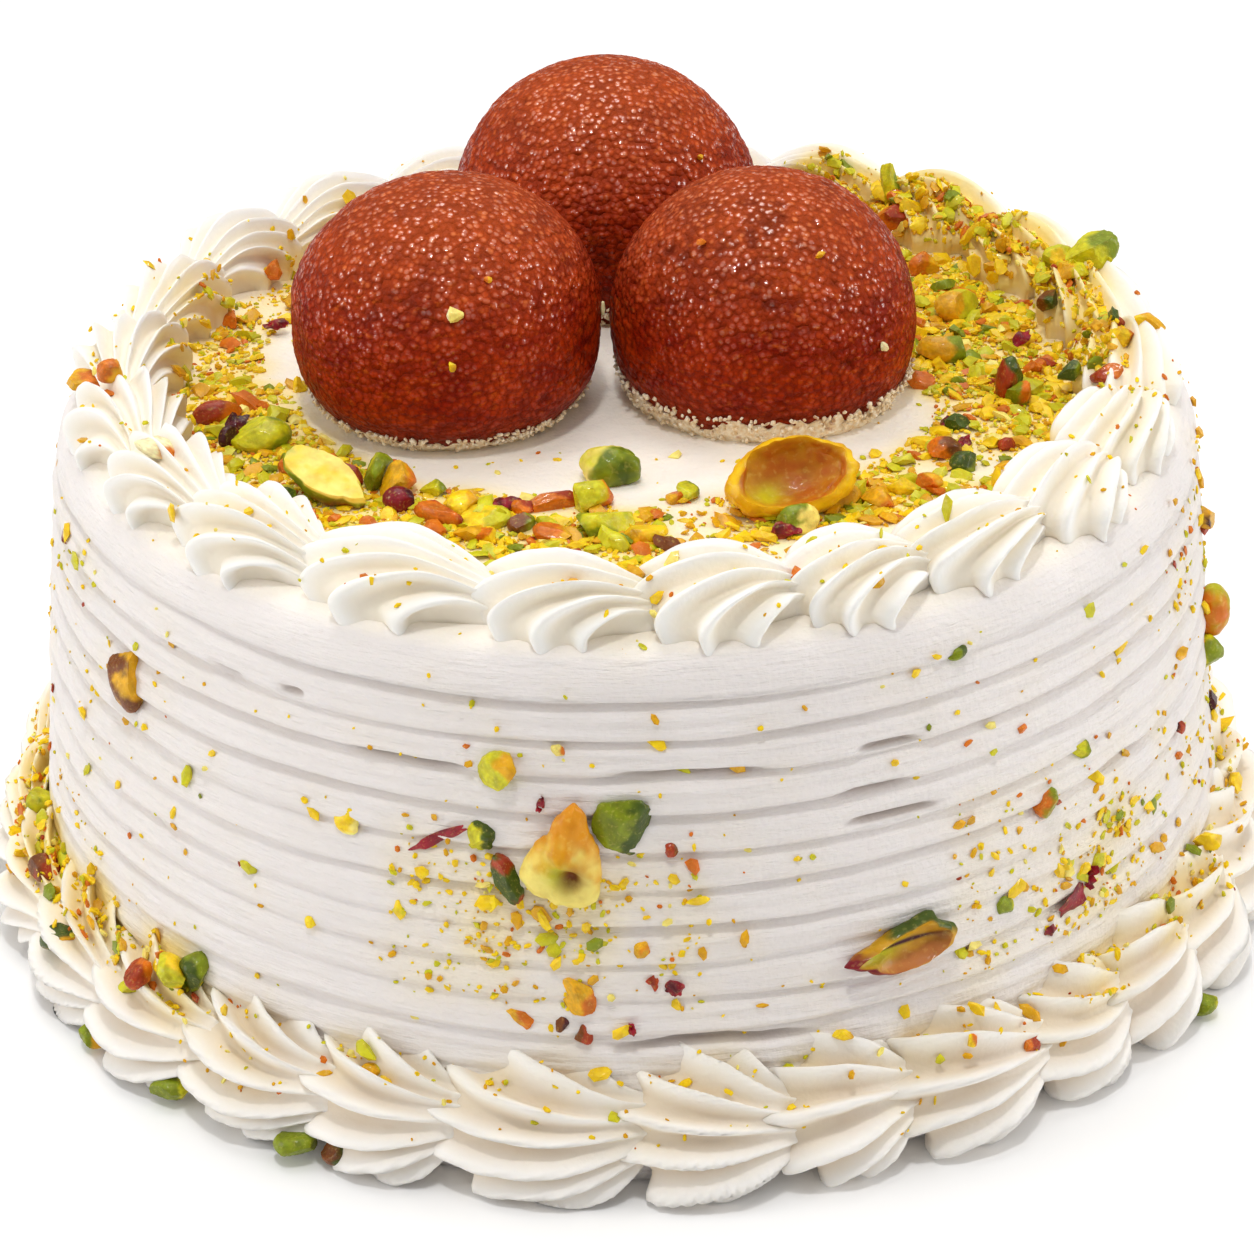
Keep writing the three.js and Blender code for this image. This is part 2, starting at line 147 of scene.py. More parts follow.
def nodePoints(nodeName):
    # the corners of a CAD node, in millimetres
    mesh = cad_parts[nodeName].data
    flat = np.empty(len(mesh.vertices) * 3)
    mesh.vertices.foreach_get("co", flat)
    return flat.reshape(-1, 3) / mm


# Materials


class Shader:
    # a material whose nodes are added one by one, and whose surface is one Principled shader

    def __init__(self, name, **settings):
        self.material = bpy.data.materials.new(name)
        self.material.use_nodes = True
        self.tree = self.material.node_tree
        self.surface = self.tree.nodes["Principled BSDF"]
        for socket, value in settings.items():
            self.surface.inputs[socket].default_value = value
        self.place = self.node("ShaderNodeTexCoord").outputs["Object"]

    def node(self, kind, links=None, **settings):
        made = self.tree.nodes.new(kind)
        for key, value in settings.items():
            if hasattr(made, key):
                setattr(made, key, value)
            else:
                made.inputs[key.replace("_", " ")].default_value = value
        for socket, source in (links or {}).items():
            self.tree.links.new(source, made.inputs[socket])
        return made

    def noise(self, pitch, detail=2, stretch=(1, 1, 1), roughness=0.5):
        # noise whose lumps are about `pitch` millimetres across
        place = self.node("ShaderNodeMapping", {"Vector": self.place})
        place.inputs["Scale"].default_value = stretch
        settings = {"Scale": 1 / (pitch * mm), "Detail": detail, "Roughness": roughness}
        return self.node("ShaderNodeTexNoise", {"Vector": place.outputs[0]}, **settings).outputs["Fac"]

    def cells(self, pitch):
        # how far each place is from the middle of its cell
        made = self.node("ShaderNodeTexVoronoi", {"Vector": self.place}, Scale=1 / (pitch * mm))
        return made.outputs["Distance"]

    def value(self, attribute):
        return self.node("ShaderNodeAttribute", attribute_name=attribute).outputs["Fac"]

    def colour(self, attribute):
        return self.node("ShaderNodeAttribute", attribute_name=attribute).outputs["Color"]

    def ramp(self, source, low, high, least=0.0, most=1.0):
        # `source` from low to high, as least to most
        made = self.node("ShaderNodeMapRange", {"Value": source})
        for socket, value in (("From Min", low), ("From Max", high), ("To Min", least), ("To Max", most)):
            made.inputs[socket].default_value = value
        return made.outputs["Result"]

    def times(self, first, second):
        return self.node("ShaderNodeMath", {0: first, 1: second}, operation="MULTIPLY").outputs[0]

    def mix(self, share, first, second, blend="MIX"):
        # colours are (r, g, b) or sockets
        made = self.node("ShaderNodeMix", data_type="RGBA", blend_type=blend)
        for socket, source in ((made.inputs[0], share), (made.inputs[6], first), (made.inputs[7], second)):
            if isinstance(source, (int, float)):
                socket.default_value = source
            elif isinstance(source, (tuple, list, np.ndarray)):
                socket.default_value = (*source, 1)
            else:
                self.tree.links.new(source, socket)
        return made.outputs[2]

    def bump(self, height, distance, strength=1.0, under=None):
        # `distance` is the relief in millimetres
        links = {"Height": height}
        if under is not None:
            links["Normal"] = under
        made = self.node("ShaderNodeBump", links, Strength=strength)
        made.inputs["Distance"].default_value = distance * mm
        return made.outputs[0]

    def finish(self, colour, normal=None, roughness=None):
        self.tree.links.new(colour, self.surface.inputs["Base Color"])
        if normal is not None:
            self.tree.links.new(normal, self.surface.inputs["Normal"])
        if roughness is not None:
            self.tree.links.new(roughness, self.surface.inputs["Roughness"])
        return self.material


creamLook = {
    "wall": linear(236, 229, 225),
    # painted shade in the side's combed grooves and gouges
    "wallShade": linear(172, 156, 146),
    # the top's colour: the side's cream painted lighter and warmer, as painted light from above
    "top": linear(249, 241, 229),
    "piped": linear(249, 246, 240),
    "foot": linear(247, 242, 235),
    # painted shade, ivory to ochre, in the valleys between a shell's ridges; darker on the foot border
    "valleyShade": linear(232, 206, 150),
    "footValleyShade": linear(206, 176, 128),
    "stain": linear(250, 219, 78),
    "stainShare": 0.66,  # where crumbs lie thickest
    "topLightFrom": (76.5, 78),  # heights between which the wall's colour turns into the top's
    "cloudy": (0.95, 0.945, 0.93),
}


def creamMaterial(name, crest, valleyShade, valleyShadeShare, isWall):
    # whipped cream: matt, a little see-through, with painted shade in its valleys and grooves (ivory on the
    # shells), and yellow where crumbs lie
    shader = Shader(name, **{"Subsurface Weight": 0.12, "Subsurface Scale": 0.003, "IOR": 1.38})
    shader.surface.inputs["Subsurface Radius"].default_value = (1.0, 0.75, 0.45)
    # painted shade: where relief is low, down in valleys and grooves, the colour turns towards the shade
    # colour
    relief = shader.ramp(shader.value("relief"), 0.0, 0.8, valleyShadeShare, 0.0)
    cloud = shader.ramp(shader.noise(9, 3), 0.3, 0.75, 0.0, 0.4)
    base = shader.mix(cloud, crest, crest * creamLook["cloudy"])
    if isWall:
        axes = shader.node("ShaderNodeSeparateXYZ", {"Vector": shader.place})
        # painted light: near the top of the side, the colour turns into the top's lighter one
        onTop = shader.ramp(axes.outputs["Z"], *(height * mm for height in creamLook["topLightFrom"]))
        base = shader.mix(onTop, base, creamLook["top"])
    base = shader.mix(relief, base, valleyShade)
    stain = shader.ramp(shader.value("stain"), 0.0, 1.0, 0.0, creamLook["stainShare"])
    base = shader.mix(stain, base, creamLook["stain"])
    normal = shader.bump(shader.noise(0.8, 3), 0.2 if isWall else 0.1, 0.8)
    normal = shader.bump(shader.noise(3.2, 2), 0.16, 0.7, normal)
    if isWall:
        normal = shader.bump(shader.noise(2.2, 4, (0.22, 0.22, 2.0), 0.65), 0.6, 0.9, normal)
    roughness = shader.ramp(shader.noise(1.6, 2), 0.3, 0.7, 0.42, 0.6)
    return shader.finish(base, normal, roughness)


wallCream = creamMaterial("combed_cream", creamLook["wall"], creamLook["wallShade"], 0.85, True)
rimCream = creamMaterial("piped_rim_cream", creamLook["piped"], creamLook["valleyShade"], 0.34, False)
footCream = creamMaterial("piped_foot_cream", creamLook["foot"], creamLook["footValleyShade"], 0.5, False)

nutLook = {
    "yellow": linear(250, 208, 10),
    "gold": linear(226, 168, 6),
    "orange": linear(214, 112, 8),
    "rust": linear(164, 54, 12),
    "lime": linear(206, 200, 20),
    "green": linear(128, 142, 6),
    "deepGreen": linear(66, 84, 4),
    "pale": linear(250, 230, 120),
    "ivory": linear(252, 238, 186),
    "crimson": linear(126, 8, 26),
    "plum": linear(66, 8, 22),
    "brown": linear(120, 62, 8),
    "tan": linear(190, 118, 58),
}


def nutMaterial(name, pitch, gloss, coat):
    # chopped nut: each point's own tint, mottled lighter and darker, under a moist sheen
    shine = {"Coat Weight": coat, "Coat Roughness": 0.12, "IOR": 1.45, "Specular IOR Level": 0.3}
    shader = Shader(name, **shine, **{"Subsurface Weight": 0.1, "Subsurface Scale": 0.0015})
    tint = shader.colour("tint")
    dark = shader.ramp(shader.noise(pitch, 4), 0.45, 0.7, 0.0, 0.5)
    base = shader.mix(dark, tint, shader.mix(1.0, tint, (0.7, 0.55, 0.4), "MULTIPLY"))
    light = shader.ramp(shader.noise(pitch * 0.45, 3), 0.56, 0.74, 0.0, 0.4)
    base = shader.mix(light, base, shader.mix(0.5, tint, nutLook["pale"]))
    normal = shader.bump(shader.noise(pitch * 0.4, 3), 0.14, 0.8)
    roughness = shader.ramp(shader.noise(pitch, 2), 0.3, 0.7, gloss, gloss + 0.2)
    return shader.finish(base, normal, roughness)


kernelNut = nutMaterial("kernel_nut", 2.2, 0.4, 0.15)
choppedNut = nutMaterial("chopped_nut", 1.1, 0.38, 0.25)
crumbNut = nutMaterial("nut_crumb", 0.6, 0.5, 0.0)


crustLook = {
    "deep": linear(138, 22, 2),
    "fried": linear(186, 58, 6),
    # painted shade in the crevices between the domes
    "creviceShade": linear(84, 11, 1),
    "amber": linear(206, 92, 22),
    # painted sheen, on the upper side
    "paintedSheen": linear(210, 108, 48),  # the upper side
    # painted highlights on the dome tops, on the upper side
    "paintedDomeHighlight": linear(238, 140, 84),  # dome tops on the upper side
    # painted shade low down on the ball
    "paintedLowShade": linear(92, 36, 8),  # low down
    # painted shade down in the dents and between the wrinkles
    "hollow": linear(78, 12, 2),
    "dome": 1.0,  # across
    "domeRelief": 0.42,
}


def crustMaterial():
    # fried and syruped skin: red brown, blistered with small domes, each wet enough to glint once. Painted
    # sheen and highlights lighten its upper side, and painted shade darkens its crevices, dents and low
    # side
    look = crustLook
    shine = {"Coat Roughness": 0.09, "Coat IOR": 2.1, "Specular IOR Level": 0.08}
    shader = Shader("syruped_crust", **shine)
    cells, high = shader.cells(look["dome"]), shader.value("high")
    cloud = shader.ramp(shader.noise(7, 4, (1, 1, 1.7), 0.6), 0.34, 0.68)
    base = shader.mix(cloud, look["deep"], look["fried"])
    # painted shade: darker at the cells' edges, between the domes
    base = shader.mix(shader.ramp(cells, 0.3, 0.6, 0.0, 0.42), base, look["creviceShade"])
    fine = shader.noise(1.5, 3, (1, 1, 1.5))
    base = shader.mix(shader.ramp(fine, 0.6, 0.74, 0.0, 0.5), base, look["amber"])
    # painted sheen, stronger higher up the ball
    base = shader.mix(shader.ramp(high, 0.45, 1.2, 0.0, 0.32), base, look["paintedSheen"])
    # painted highlights on the middles of the domes, higher up the ball
    paintedGlint = shader.times(shader.ramp(cells, 0.5, 0.2), shader.ramp(fine, 0.4, 0.6, 0.2, 1.0))
    paintedGlint = shader.times(paintedGlint, shader.ramp(high, 0.35, 1.05, 0.0, 0.62))
    base = shader.mix(paintedGlint, base, look["paintedDomeHighlight"])
    # painted shade low down, where the base value is high
    base = shader.mix(shader.ramp(shader.value("base"), 0.0, 1.0, 0.0, 0.65), base, look["paintedLowShade"])
    # painted shade where relief is low, in the dents
    base = shader.mix(shader.ramp(shader.value("relief"), 0.5, 0.1, 0.0, 0.6), base, look["hollow"])
    folds = shader.bump(shader.noise(2.4, 2, (1, 1, 1.8)), 0.5, 1.0)
    domes = shader.bump(shader.times(cells, cells), look["domeRelief"], 1.0, folds)
    domes.node.invert = True
    patchy = shader.times(shader.ramp(cells, 0.42, 0.25), shader.ramp(shader.noise(1.8, 1), 0.36, 0.52))
    wet = shader.times(patchy, shader.ramp(high, 0.1, 0.75, 0.1, 1.0))
    shader.tree.links.new(wet, shader.surface.inputs["Coat Weight"])
    shader.tree.links.new(domes, shader.surface.inputs["Coat Normal"])
    return shader.finish(base, domes, shader.ramp(shader.noise(2.6, 3), 0.3, 0.7, 0.4, 0.55))


syrupedCrust = crustMaterial()
print("materials made")

# Cream cake: a body of revolution with a combed side

cream = {
    "topHeight": 78.25,
    "wallRadius": 84,  # at the highest groove
    "flare": 0.1,
    "rimRadius": 6.5,
    "grooves": 10,
    "pitch": 5.5,
    "depth": 1.15,
    "highest": 71.25,
    "columns": 480,
    "combFrom": 13,  # the wall is plain below this height, behind the foot border
    "rowStep": 0.4,
    "rimRows": 15,
    "topRows": 34,
    "lipWidth": 0.5,  # how far a groove runs up under the ridge above it
    "rampWidth": 1.15,  # and down over the ridge below it
    "wobble": 0.5,
    "lip": 0.24,  # how far cream is pushed out above a groove
    "grooveShade": 0.42,
    "lastGroove": 0.4,  # the lowest groove's depth as a share of the others'
    "gougeHalfHeight": 0.62,
    "gougeDepth": 1.5,
    "gougeShade": 1.3,
    # places where the comb skipped: angle, height, half length, depth
    "gouges": [
        (-110.4, 61.0, 8.0, 1.0), (-84.8, 60.6, 10.0, 1.3), (-66.3, 61.1, 4.4, 1.1),
        (-67.9, 55.0, 5.2, 1.1), (-66.1, 50.5, 6.6, 1.2), (-83.0, 20.6, 13.0, 1.2),
        (-129.7, 66.8, 2.6, 0.9), (-122.0, 66.9, 1.8, 0.9), (-38.0, 44.2, 7.0, 0.9),
        (62.0, 55.2, 9.0, 1.1), (120.0, 38.6, 8.0, 1.0), (170.0, 60.8, 7.0, 1.0),
        (25.0, 33.4, 9.0, 1.1),
    ],
}


def wallRadiusAt(height):
    # the side leans out a little towards the foot
    return cream["wallRadius"] + cream["flare"] * (cream["highest"] - height)


def combedRelief(angle, height):
    # a full ridge, less a narrow groove exp(-|d/w|^1.6) at each comb tooth, with a lip pushed out above it,
    # less a blunt slot at each gouge, plus streaks along the comb's way and soft lumps. It also gives the
    # painted
    # shade: 1 where the side is lit, less down in the grooves and gouges
    x, y = wallRadiusAt(height) * np.cos(angle), wallRadiusAt(height) * np.sin(angle)
    ridge = np.full(np.broadcast(angle, height).shape, float(cream["depth"]))
    paintedShade = np.zeros_like(ridge)
    for tooth in range(cream["grooves"] + 1):
        middle = cream["highest"] - tooth * cream["pitch"]
        middle = middle + cream["wobble"] * noise(x, y, 0, 38, 10 + tooth)
        middle = middle + 0.12 * noise(x, y, 0, 9, 30 + tooth)
        above = np.asarray(height) - middle
        width = np.where(above > 0, cream["lipWidth"], cream["rampWidth"])
        width = width * (1 + 0.2 * noise(x, y, 0, 22, 70 + tooth))
        deep = 0.72 + 0.3 * smoothStep(30, 68, middle) + 0.42 * noise(x, y, 0, 24, 50 + tooth)
        if tooth == cream["grooves"]:
            deep = deep * cream["lastGroove"]
        groove = np.exp(-np.abs(above / width) ** 1.6)
        ridge = ridge - cream["depth"] * deep * groove
        lip, hollow = (np.exp(-(((above - up) / wide) ** 2)) for up, wide in ((1.25, 0.7), (2.6, 0.5)))
        ridge = ridge + cream["lip"] * deep * lip - 0.16 * hollow * (deep - 0.4)
        # painted shade, deepest down in each groove
        paintedShade = np.maximum(paintedShade, cream["grooveShade"] * groove * deep)
    streaks = 0.2 * noise(x / 30, y / 30, height / 1.5, 1, 91)
    streaks = streaks + 0.13 * noise(x / 11, y / 11, height / 0.8, 1, 92)
    lumps = 0.2 * noise(x, y, height, 13, 93) + 0.1 * noise(x, y, height, 3.4, 94)
    for turn, middle, halfLength, depth in cream["gouges"]:
        along = (angle - radians(turn) + pi) % tau - pi
        slope = 0.5 * noise(x, y, 0, 6, 17)
        slot = np.exp(-np.abs(along * cream["wallRadius"] / halfLength) ** 5)
        slot = slot * np.exp(-np.abs((height - middle - slope) / cream["gougeHalfHeight"]) ** 3)
        ridge = ridge - cream["gougeDepth"] * depth * slot
        paintedShade = np.maximum(paintedShade, cream["gougeShade"] * slot)
    return ridge + streaks + lumps, 1 - np.clip(0.75 * paintedShade, 0, 1)


def topSag(radius):
    # how far the rim's quarter round lies below the flat top
    shoulder = cream["wallRadius"] + cream["depth"] / 2
    past = np.clip(radius - (shoulder - cream["rimRadius"]), 0, cream["rimRadius"])
    return cream["rimRadius"] - np.sqrt(cream["rimRadius"] ** 2 - past**2)


def creamBody():
    # rows up the combed side, a quarter circle over the rim, and rings in over the top
    turn = np.arange(cream["columns"]) / cream["columns"] * tau
    combed = np.arange(cream["combFrom"], cream["highest"] + 0.6, cream["rowStep"])
    height = np.concatenate([np.linspace(0, cream["combFrom"], 8)[:-1], combed])[:, None]
    relief, lit = combedRelief(turn[None, :], height)
    wall = wallRadiusAt(height) + relief
    rounding = radians(90) * np.linspace(0.06, 1, cream["rimRows"])[:, None]
    shoulder = cream["wallRadius"] + cream["depth"] / 2
    rimRadius = shoulder - cream["rimRadius"] * (1 - np.cos(rounding))
    rimHeight = cream["topHeight"] - cream["rimRadius"] * (1 - np.sin(rounding))
    x, y = rimRadius * np.cos(turn), rimRadius * np.sin(turn)
    soft = 0.3 * noise(x / 30, y / 30, rimHeight / 2.2, 1, 81) + 0.18 * noise(x, y, rimHeight, 11, 82)
    rimRadius = rimRadius + soft * np.cos(rounding * 0.7) + 0.35 * (1 - rounding / radians(90))
    flatRadius = np.linspace(shoulder - cream["rimRadius"], 0.6, cream["topRows"])[1:, None]
    flatRadius = flatRadius * np.ones(len(turn))
    x, y = flatRadius * np.cos(turn), flatRadius * np.sin(turn)
    smear = 0.26 * noise(x, y, 0, 19, 83) + 0.1 * noise(x, y, 0, 5, 84)
    flatHeight = cream["topHeight"] + smear * smoothStep(78, 70, flatRadius)
    radius = np.concatenate([wall, rimRadius, flatRadius])
    heights = np.concatenate([height + 0 * wall, rimHeight + 0 * rimRadius, flatHeight])
    # painted shade: in the grooves and gouges of the side, none over the rim and top
    depth = np.concatenate([lit, np.ones((len(rimRadius) + len(flatRadius), len(turn)))])
    grid = np.stack([radius * np.cos(turn), radius * np.sin(turn), heights], -1)
    rows, columns = radius.shape
    points = np.concatenate([grid.reshape(-1, 3), [[0, 0, 0], [0, 0, cream["topHeight"]]]])
    base = np.arange(columns)
    last = (rows - 1) * columns + base
    faces = [gridFaces(rows, columns, True)[:, ::-1], fanFaces(len(points) - 2, base)]
    faces.append(fanFaces(len(points) - 1, last[::-1]))
    return points, faces, np.append(depth.ravel(), [1, 1])


# Piped shells: ridged drops that run clockwise from a narrow tail to a round head

rimShell = {
    "node": "rim_shell",
    "count": 22,
    "radius": 74.2,
    "height": cream["topHeight"],
    "tilt": 0,
    "halfWidth": 7.3,
    "rise": 8.2,
    "neckHalfWidth": 3.2,
    "neckRise": 4.8,
    "ridges": 8,
    "ridgeDepth": 1.9,
    "innerSoft": 0.3,  # how much less the ridges stand out on the inner side
    "blunt": 0.45,  # and at the rim of the head
    "lean": 0.5,  # how far a crest sags down its side
    "headOver": 2.2,  # how far the head lies over the tail before it
    "tailUnder": 3.5,
    "sink": 0.8,
    "twist": 0.35,
    "drape": 0.022,  # how fast a shell sinks over the cake's rim
    "seed": 21,
}
footShell = {
    "node": "foot_shell",
    "count": 28,
    "radius": 91.6,
    "height": 8.6,
    "tilt": 63,
    "halfWidth": 9.2,
    "rise": 5.4,
    "neckHalfWidth": 4.8,
    "neckRise": 3.4,
    "ridges": 7,
    "ridgeDepth": 2.5,
    "innerSoft": 0.0,
    "blunt": 0.35,
    "lean": 0.7,
    "headOver": 2.6,
    "tailUnder": 3.5,
    "sink": 2.5,
    "twist": 0.75,
    "drape": 0,
    "seed": 34,
}
shellForm = {
    "rows": 46,
    "columnsPerRidge": 14,
    "sweep": 128,  # degrees from the head's front to the last ridge
    "head": 0.44,  # the head's radius as a share of the length
    "curl": 118,  # degrees that the head rounds over, past upright
    "straight": 0.42,  # share of the length, and of the rows, before it rounds over
    "highest": 0.55,  # share of the length where the dome is highest
    "drapeFrom": 76.5,
    "centre": 0.5,
    "tailRows": 8,
}


def shellAngles(nodeName):
    # the tail's and the head's angle of a CAD shell: it runs clockwise, from the larger to the smaller
    points = nodePoints(nodeName)
    turn = np.arctan2(points[:, 1], points[:, 0])
    middle = np.arctan2(np.sin(turn).mean(), np.cos(turn).mean())
    around = (turn - middle + pi) % tau - pi
    return middle + around.max(), middle + around.min()


def pipedShell(kind, tail, head, rng):
    # the ridge lines fan out from the tail over a dome. Height = dome sqrt(1 - share^2) * climb * fall.
    # A ridge stands out of it by depth * b, where b = c^2.3 of c = (1 - cos) / 2 across the ridges.
    form = shellForm
    tailUnder, headOver = kind["tailUnder"], kind["headOver"]
    length = (tail - head) * kind["radius"] + headOver
    even = np.linspace(-1, 1, kind["ridges"] * form["columnsPerRidge"] + 1)
    share = (0.55 * even + 0.45 * np.sin(even * pi / 2))[None, :]
    along = np.linspace(0, 1, form["rows"])[:, None]
    curl, straight = radians(form["curl"]), form["straight"]
    rounding = np.clip((along - straight) / (1 - straight), 0, 1) * curl
    t = np.where(along < straight, along, straight + (1 - straight) * np.sin(rounding))
    fall = (np.cos(rounding) - cos(curl)) / (1 - cos(curl))
    sweep = share * radians(form["sweep"])
    headRadius = form["head"] * length
    endX = length - headRadius + headRadius * np.cos(sweep)
    endY = kind["halfWidth"] * np.sin(sweep) * (1 + 0.08 * rng.uniform(-1, 1))
    startY = kind["neckHalfWidth"] * np.sin(share * pi / 2)
    bend = rng.uniform(-1.5, 1.5)
    fan = t ** 1.12
    x = endX * t
    y = startY + (endY - startY) * fan + bend * np.sin(pi * t) * (1 - share**2)
    rise = kind["rise"] * (1 + rng.uniform(-0.06, 0.06))
    climb = np.sin(np.clip(t / form["highest"], 0, 1) * pi / 2)
    climb = kind["neckRise"] + (rise - kind["neckRise"]) * climb
    dome = np.sqrt(np.clip(1 - share**2, 0, 1))
    h = dome * climb * fall
    # ridges
    edges = np.linspace(-1, 1, kind["ridges"] + 1)
    jitter = 0.16 * np.interp(share, edges, rng.uniform(-1, 1, kind["ridges"] + 1))
    twist = kind["twist"] * rng.uniform(-1, 1.6)
    phase = kind["ridges"] * (share + 1) / 2 + jitter + twist * (t - 0.75)
    crest = (0.5 - 0.5 * np.cos(tau * phase)) ** 2.3
    strength = np.interp(phase, np.arange(kind["ridges"]) + 0.5, rng.uniform(0.78, 1.2, kind["ridges"]))
    grown = 0.25 + 0.75 * np.clip(t / 0.55, 0, 1)
    ended = 1 - kind["blunt"] * smoothStep(radians(55), curl, rounding)
    inner = 1 - kind["innerSoft"] * smoothStep(0.1, -0.6, share)
    relief = kind["ridgeDepth"] * grown * ended * inner * (1.6 * crest * strength - 0.5)
    out = unit(np.stack(np.broadcast_arrays(x - form["centre"] * length, y, h + 0.6), -1))
    side = np.tanh(3.2 * share) * kind["lean"] * crest * grown * strength
    x = x + out[..., 0] * relief
    y = y + out[..., 1] * relief + side * out[..., 2]
    h = h + out[..., 2] * relief * fall**0.4 - np.abs(side) * 0.75 * (1 - out[..., 2] ** 2)
    # the tail rounds off under the next head
    back = np.linspace(0, 1, form["tailRows"] + 1)[:-1, None]
    shrink = np.sqrt(1 - (1 - back) ** 2)
    x = np.concatenate([-tailUnder * (1 - back) + x[:1] * back, x])
    y = np.concatenate([y[:1] * shrink, y])
    h = np.concatenate([h[:1] * shrink, h])
    # painted shade between the ridges: near 1 on the crests and 0 down in the valleys, where the cream
    # material paints its valley shade
    tailShading = np.repeat(crest[:1] * 0.3 + 0.5, len(back), 0)
    shading = np.concatenate([tailShading, crest * grown + 0.6 * (1 - grown)])
    # uneven cream
    seed = int(rng.integers(1000))
    wave = 0.28 * noise(x, y, h, 8, seed) + 0.09 * noise(x, y, h, 2.6, seed + 1)
    nose = 0.5 * noise(x, y, 0, 5, seed + 2) * smoothStep(0.7, 1, x / length)
    h = h + wave * smoothStep(0, 2, h)
    y = y + 0.6 * wave + nose
    sideways = rng.uniform(-0.4, 0.4)
    return x, y, h - kind["sink"] * smoothStep(1.6, -0.2, h), shading, sideways, length


def ontoRing(kind, tail, sideways, x, y, h):
    # bends a shell round the cake: x runs clockwise, y outwards and down by the tilt
    c, s = cos(radians(kind["tilt"])), sin(radians(kind["tilt"]))
    radius = kind["radius"] + sideways + y * c + h * s
    height = kind["height"] - y * s + h * c
    height = height - kind["drape"] * np.clip(radius - shellForm["drapeFrom"], 0, 9) ** 2
    angle = tail - x / kind["radius"]
    return np.stack([radius * np.cos(angle), radius * np.sin(angle), np.maximum(height, 0.05)], -1)


def makeShells(kind):
    # each shell's grid bent onto the ring, capped at its tail and closed by a fan from a point under it
    rng = np.random.default_rng(kind["seed"])
    made = []
    for number in range(1, kind["count"] + 1):
        node = f"{kind['node']}_{number:02d}"
        tail, head = shellAngles(node)
        x, y, h, shading, sideways, length = pipedShell(kind, tail, head, rng)
        grid = ontoRing(kind, tail, sideways, x, y, h)
        rows, columns = x.shape
        under = ontoRing(kind, tail, 0, length / 2, 0.0, -kind["sink"])
        if kind["tilt"]:  # on the floor, just inside the side
            under = under * (1, 1, 0) * (cream["wallRadius"] / np.hypot(under[0], under[1]))
        points = np.concatenate([grid[:1].mean(1), grid[1:].reshape(-1, 3), under[None]])
        first = np.arange(1, columns)
        capFaces = np.stack([np.zeros(columns - 1, int), first, first + 1], -1)
        body = gridFaces(rows - 1, columns, first=1)
        left = 1 + np.arange(rows - 1) * columns
        right = left + columns - 1
        end = 1 + (rows - 2) * columns + np.arange(1, columns - 1)
        loop = np.concatenate([[0], left, end, right[::-1]])
        faces = [body, capFaces, fanFaces(len(points) - 1, loop)]
        shadings = np.concatenate([[0.5], shading[1:].ravel(), [0.5]])
        made.append((node, points, faces, shadings))
    print(kind["node"], "shells shaped")
    return made


bodyPoints, bodyFaces, bodyShading = creamBody()
rimShells = makeShells(rimShell)
footShells = makeShells(footShell)
print("cream shaped")

# Height map of the cake seen from above, which tells where falling crumbs come to rest

fallMap = {"cell": 0.5, "half": 106, "topRadius": 84.4}
mapSide = int(2 * fallMap["half"] / fallMap["cell"])


def cellOf(points):
    cells = ((points[:, :2] + fallMap["half"]) / fallMap["cell"]).astype(int)
    return np.clip(cells, 0, mapSide - 1)


def heightMap():
    # the highest point of the top and the shells in each cell, with lone low cells filled from round them
    axis = (np.arange(mapSide) + 0.5) * fallMap["cell"] - fallMap["half"]
    x, y = np.meshgrid(axis, axis, indexing="ij")
    radius = np.hypot(x, y)
    high = np.where(radius < fallMap["topRadius"], cream["topHeight"] - topSag(radius), 0.0)
    for _, points, _, _ in rimShells + footShells:
        cells = cellOf(points)
        np.maximum.at(high, (cells[:, 0], cells[:, 1]), points[:, 2])
    around = [np.roll(high, (i, j), (0, 1)) for i in (-1, 0, 1) for j in (-1, 0, 1)]
    return np.maximum(high, np.median(around, 0))


ground = heightMap()
slopeX, slopeY = np.gradient(ground, fallMap["cell"])


def restingPlace(points):
    # the height under each point and the way that the cream faces there
    cells = cellOf(points)
    i, j = cells[:, 0], cells[:, 1]
    normal = unit(np.stack([-slopeX[i, j], -slopeY[i, j], np.ones(len(i))], -1))
    return ground[i, j], normal


# Chopped nuts, crumbs and petals


def ball(detail):
    # an icosahedron, each face split in four `detail` times, as unit points and triangles
    g = (1 + sqrt(5)) / 2
    points = np.array([(-1, g, 0), (1, g, 0), (-1, -g, 0), (1, -g, 0), (0, -1, g), (0, 1, g),
                       (0, -1, -g), (0, 1, -g), (g, 0, -1), (g, 0, 1), (-g, 0, -1), (-g, 0, 1)], float)
    faces = np.array([(0, 11, 5), (0, 5, 1), (0, 1, 7), (0, 7, 10), (0, 10, 11), (1, 5, 9), (5, 11, 4),
                      (11, 10, 2), (10, 7, 6), (7, 1, 8), (3, 9, 4), (3, 4, 2), (3, 2, 6), (3, 6, 8),
                      (3, 8, 9), (4, 9, 5), (2, 4, 11), (6, 2, 10), (8, 6, 7), (9, 8, 1)])
    points = unit(points)
    for _ in range(detail):
        edges = np.sort(faces[:, [[0, 1], [1, 2], [2, 0]]].reshape(-1, 2), 1)
        known, which = np.unique(edges, axis=0, return_inverse=True)
        middles = len(points) + which.reshape(-1, 3)
        points = np.concatenate([points, unit(points[known].mean(1))])
        a, b, c = faces.T
        ab, bc, ca = middles.T
        split = (a, ab, ca), (b, bc, ab), (c, ca, bc), (ab, bc, ca)
        faces = np.concatenate([np.stack(corners, -1) for corners in split])
    return points, faces


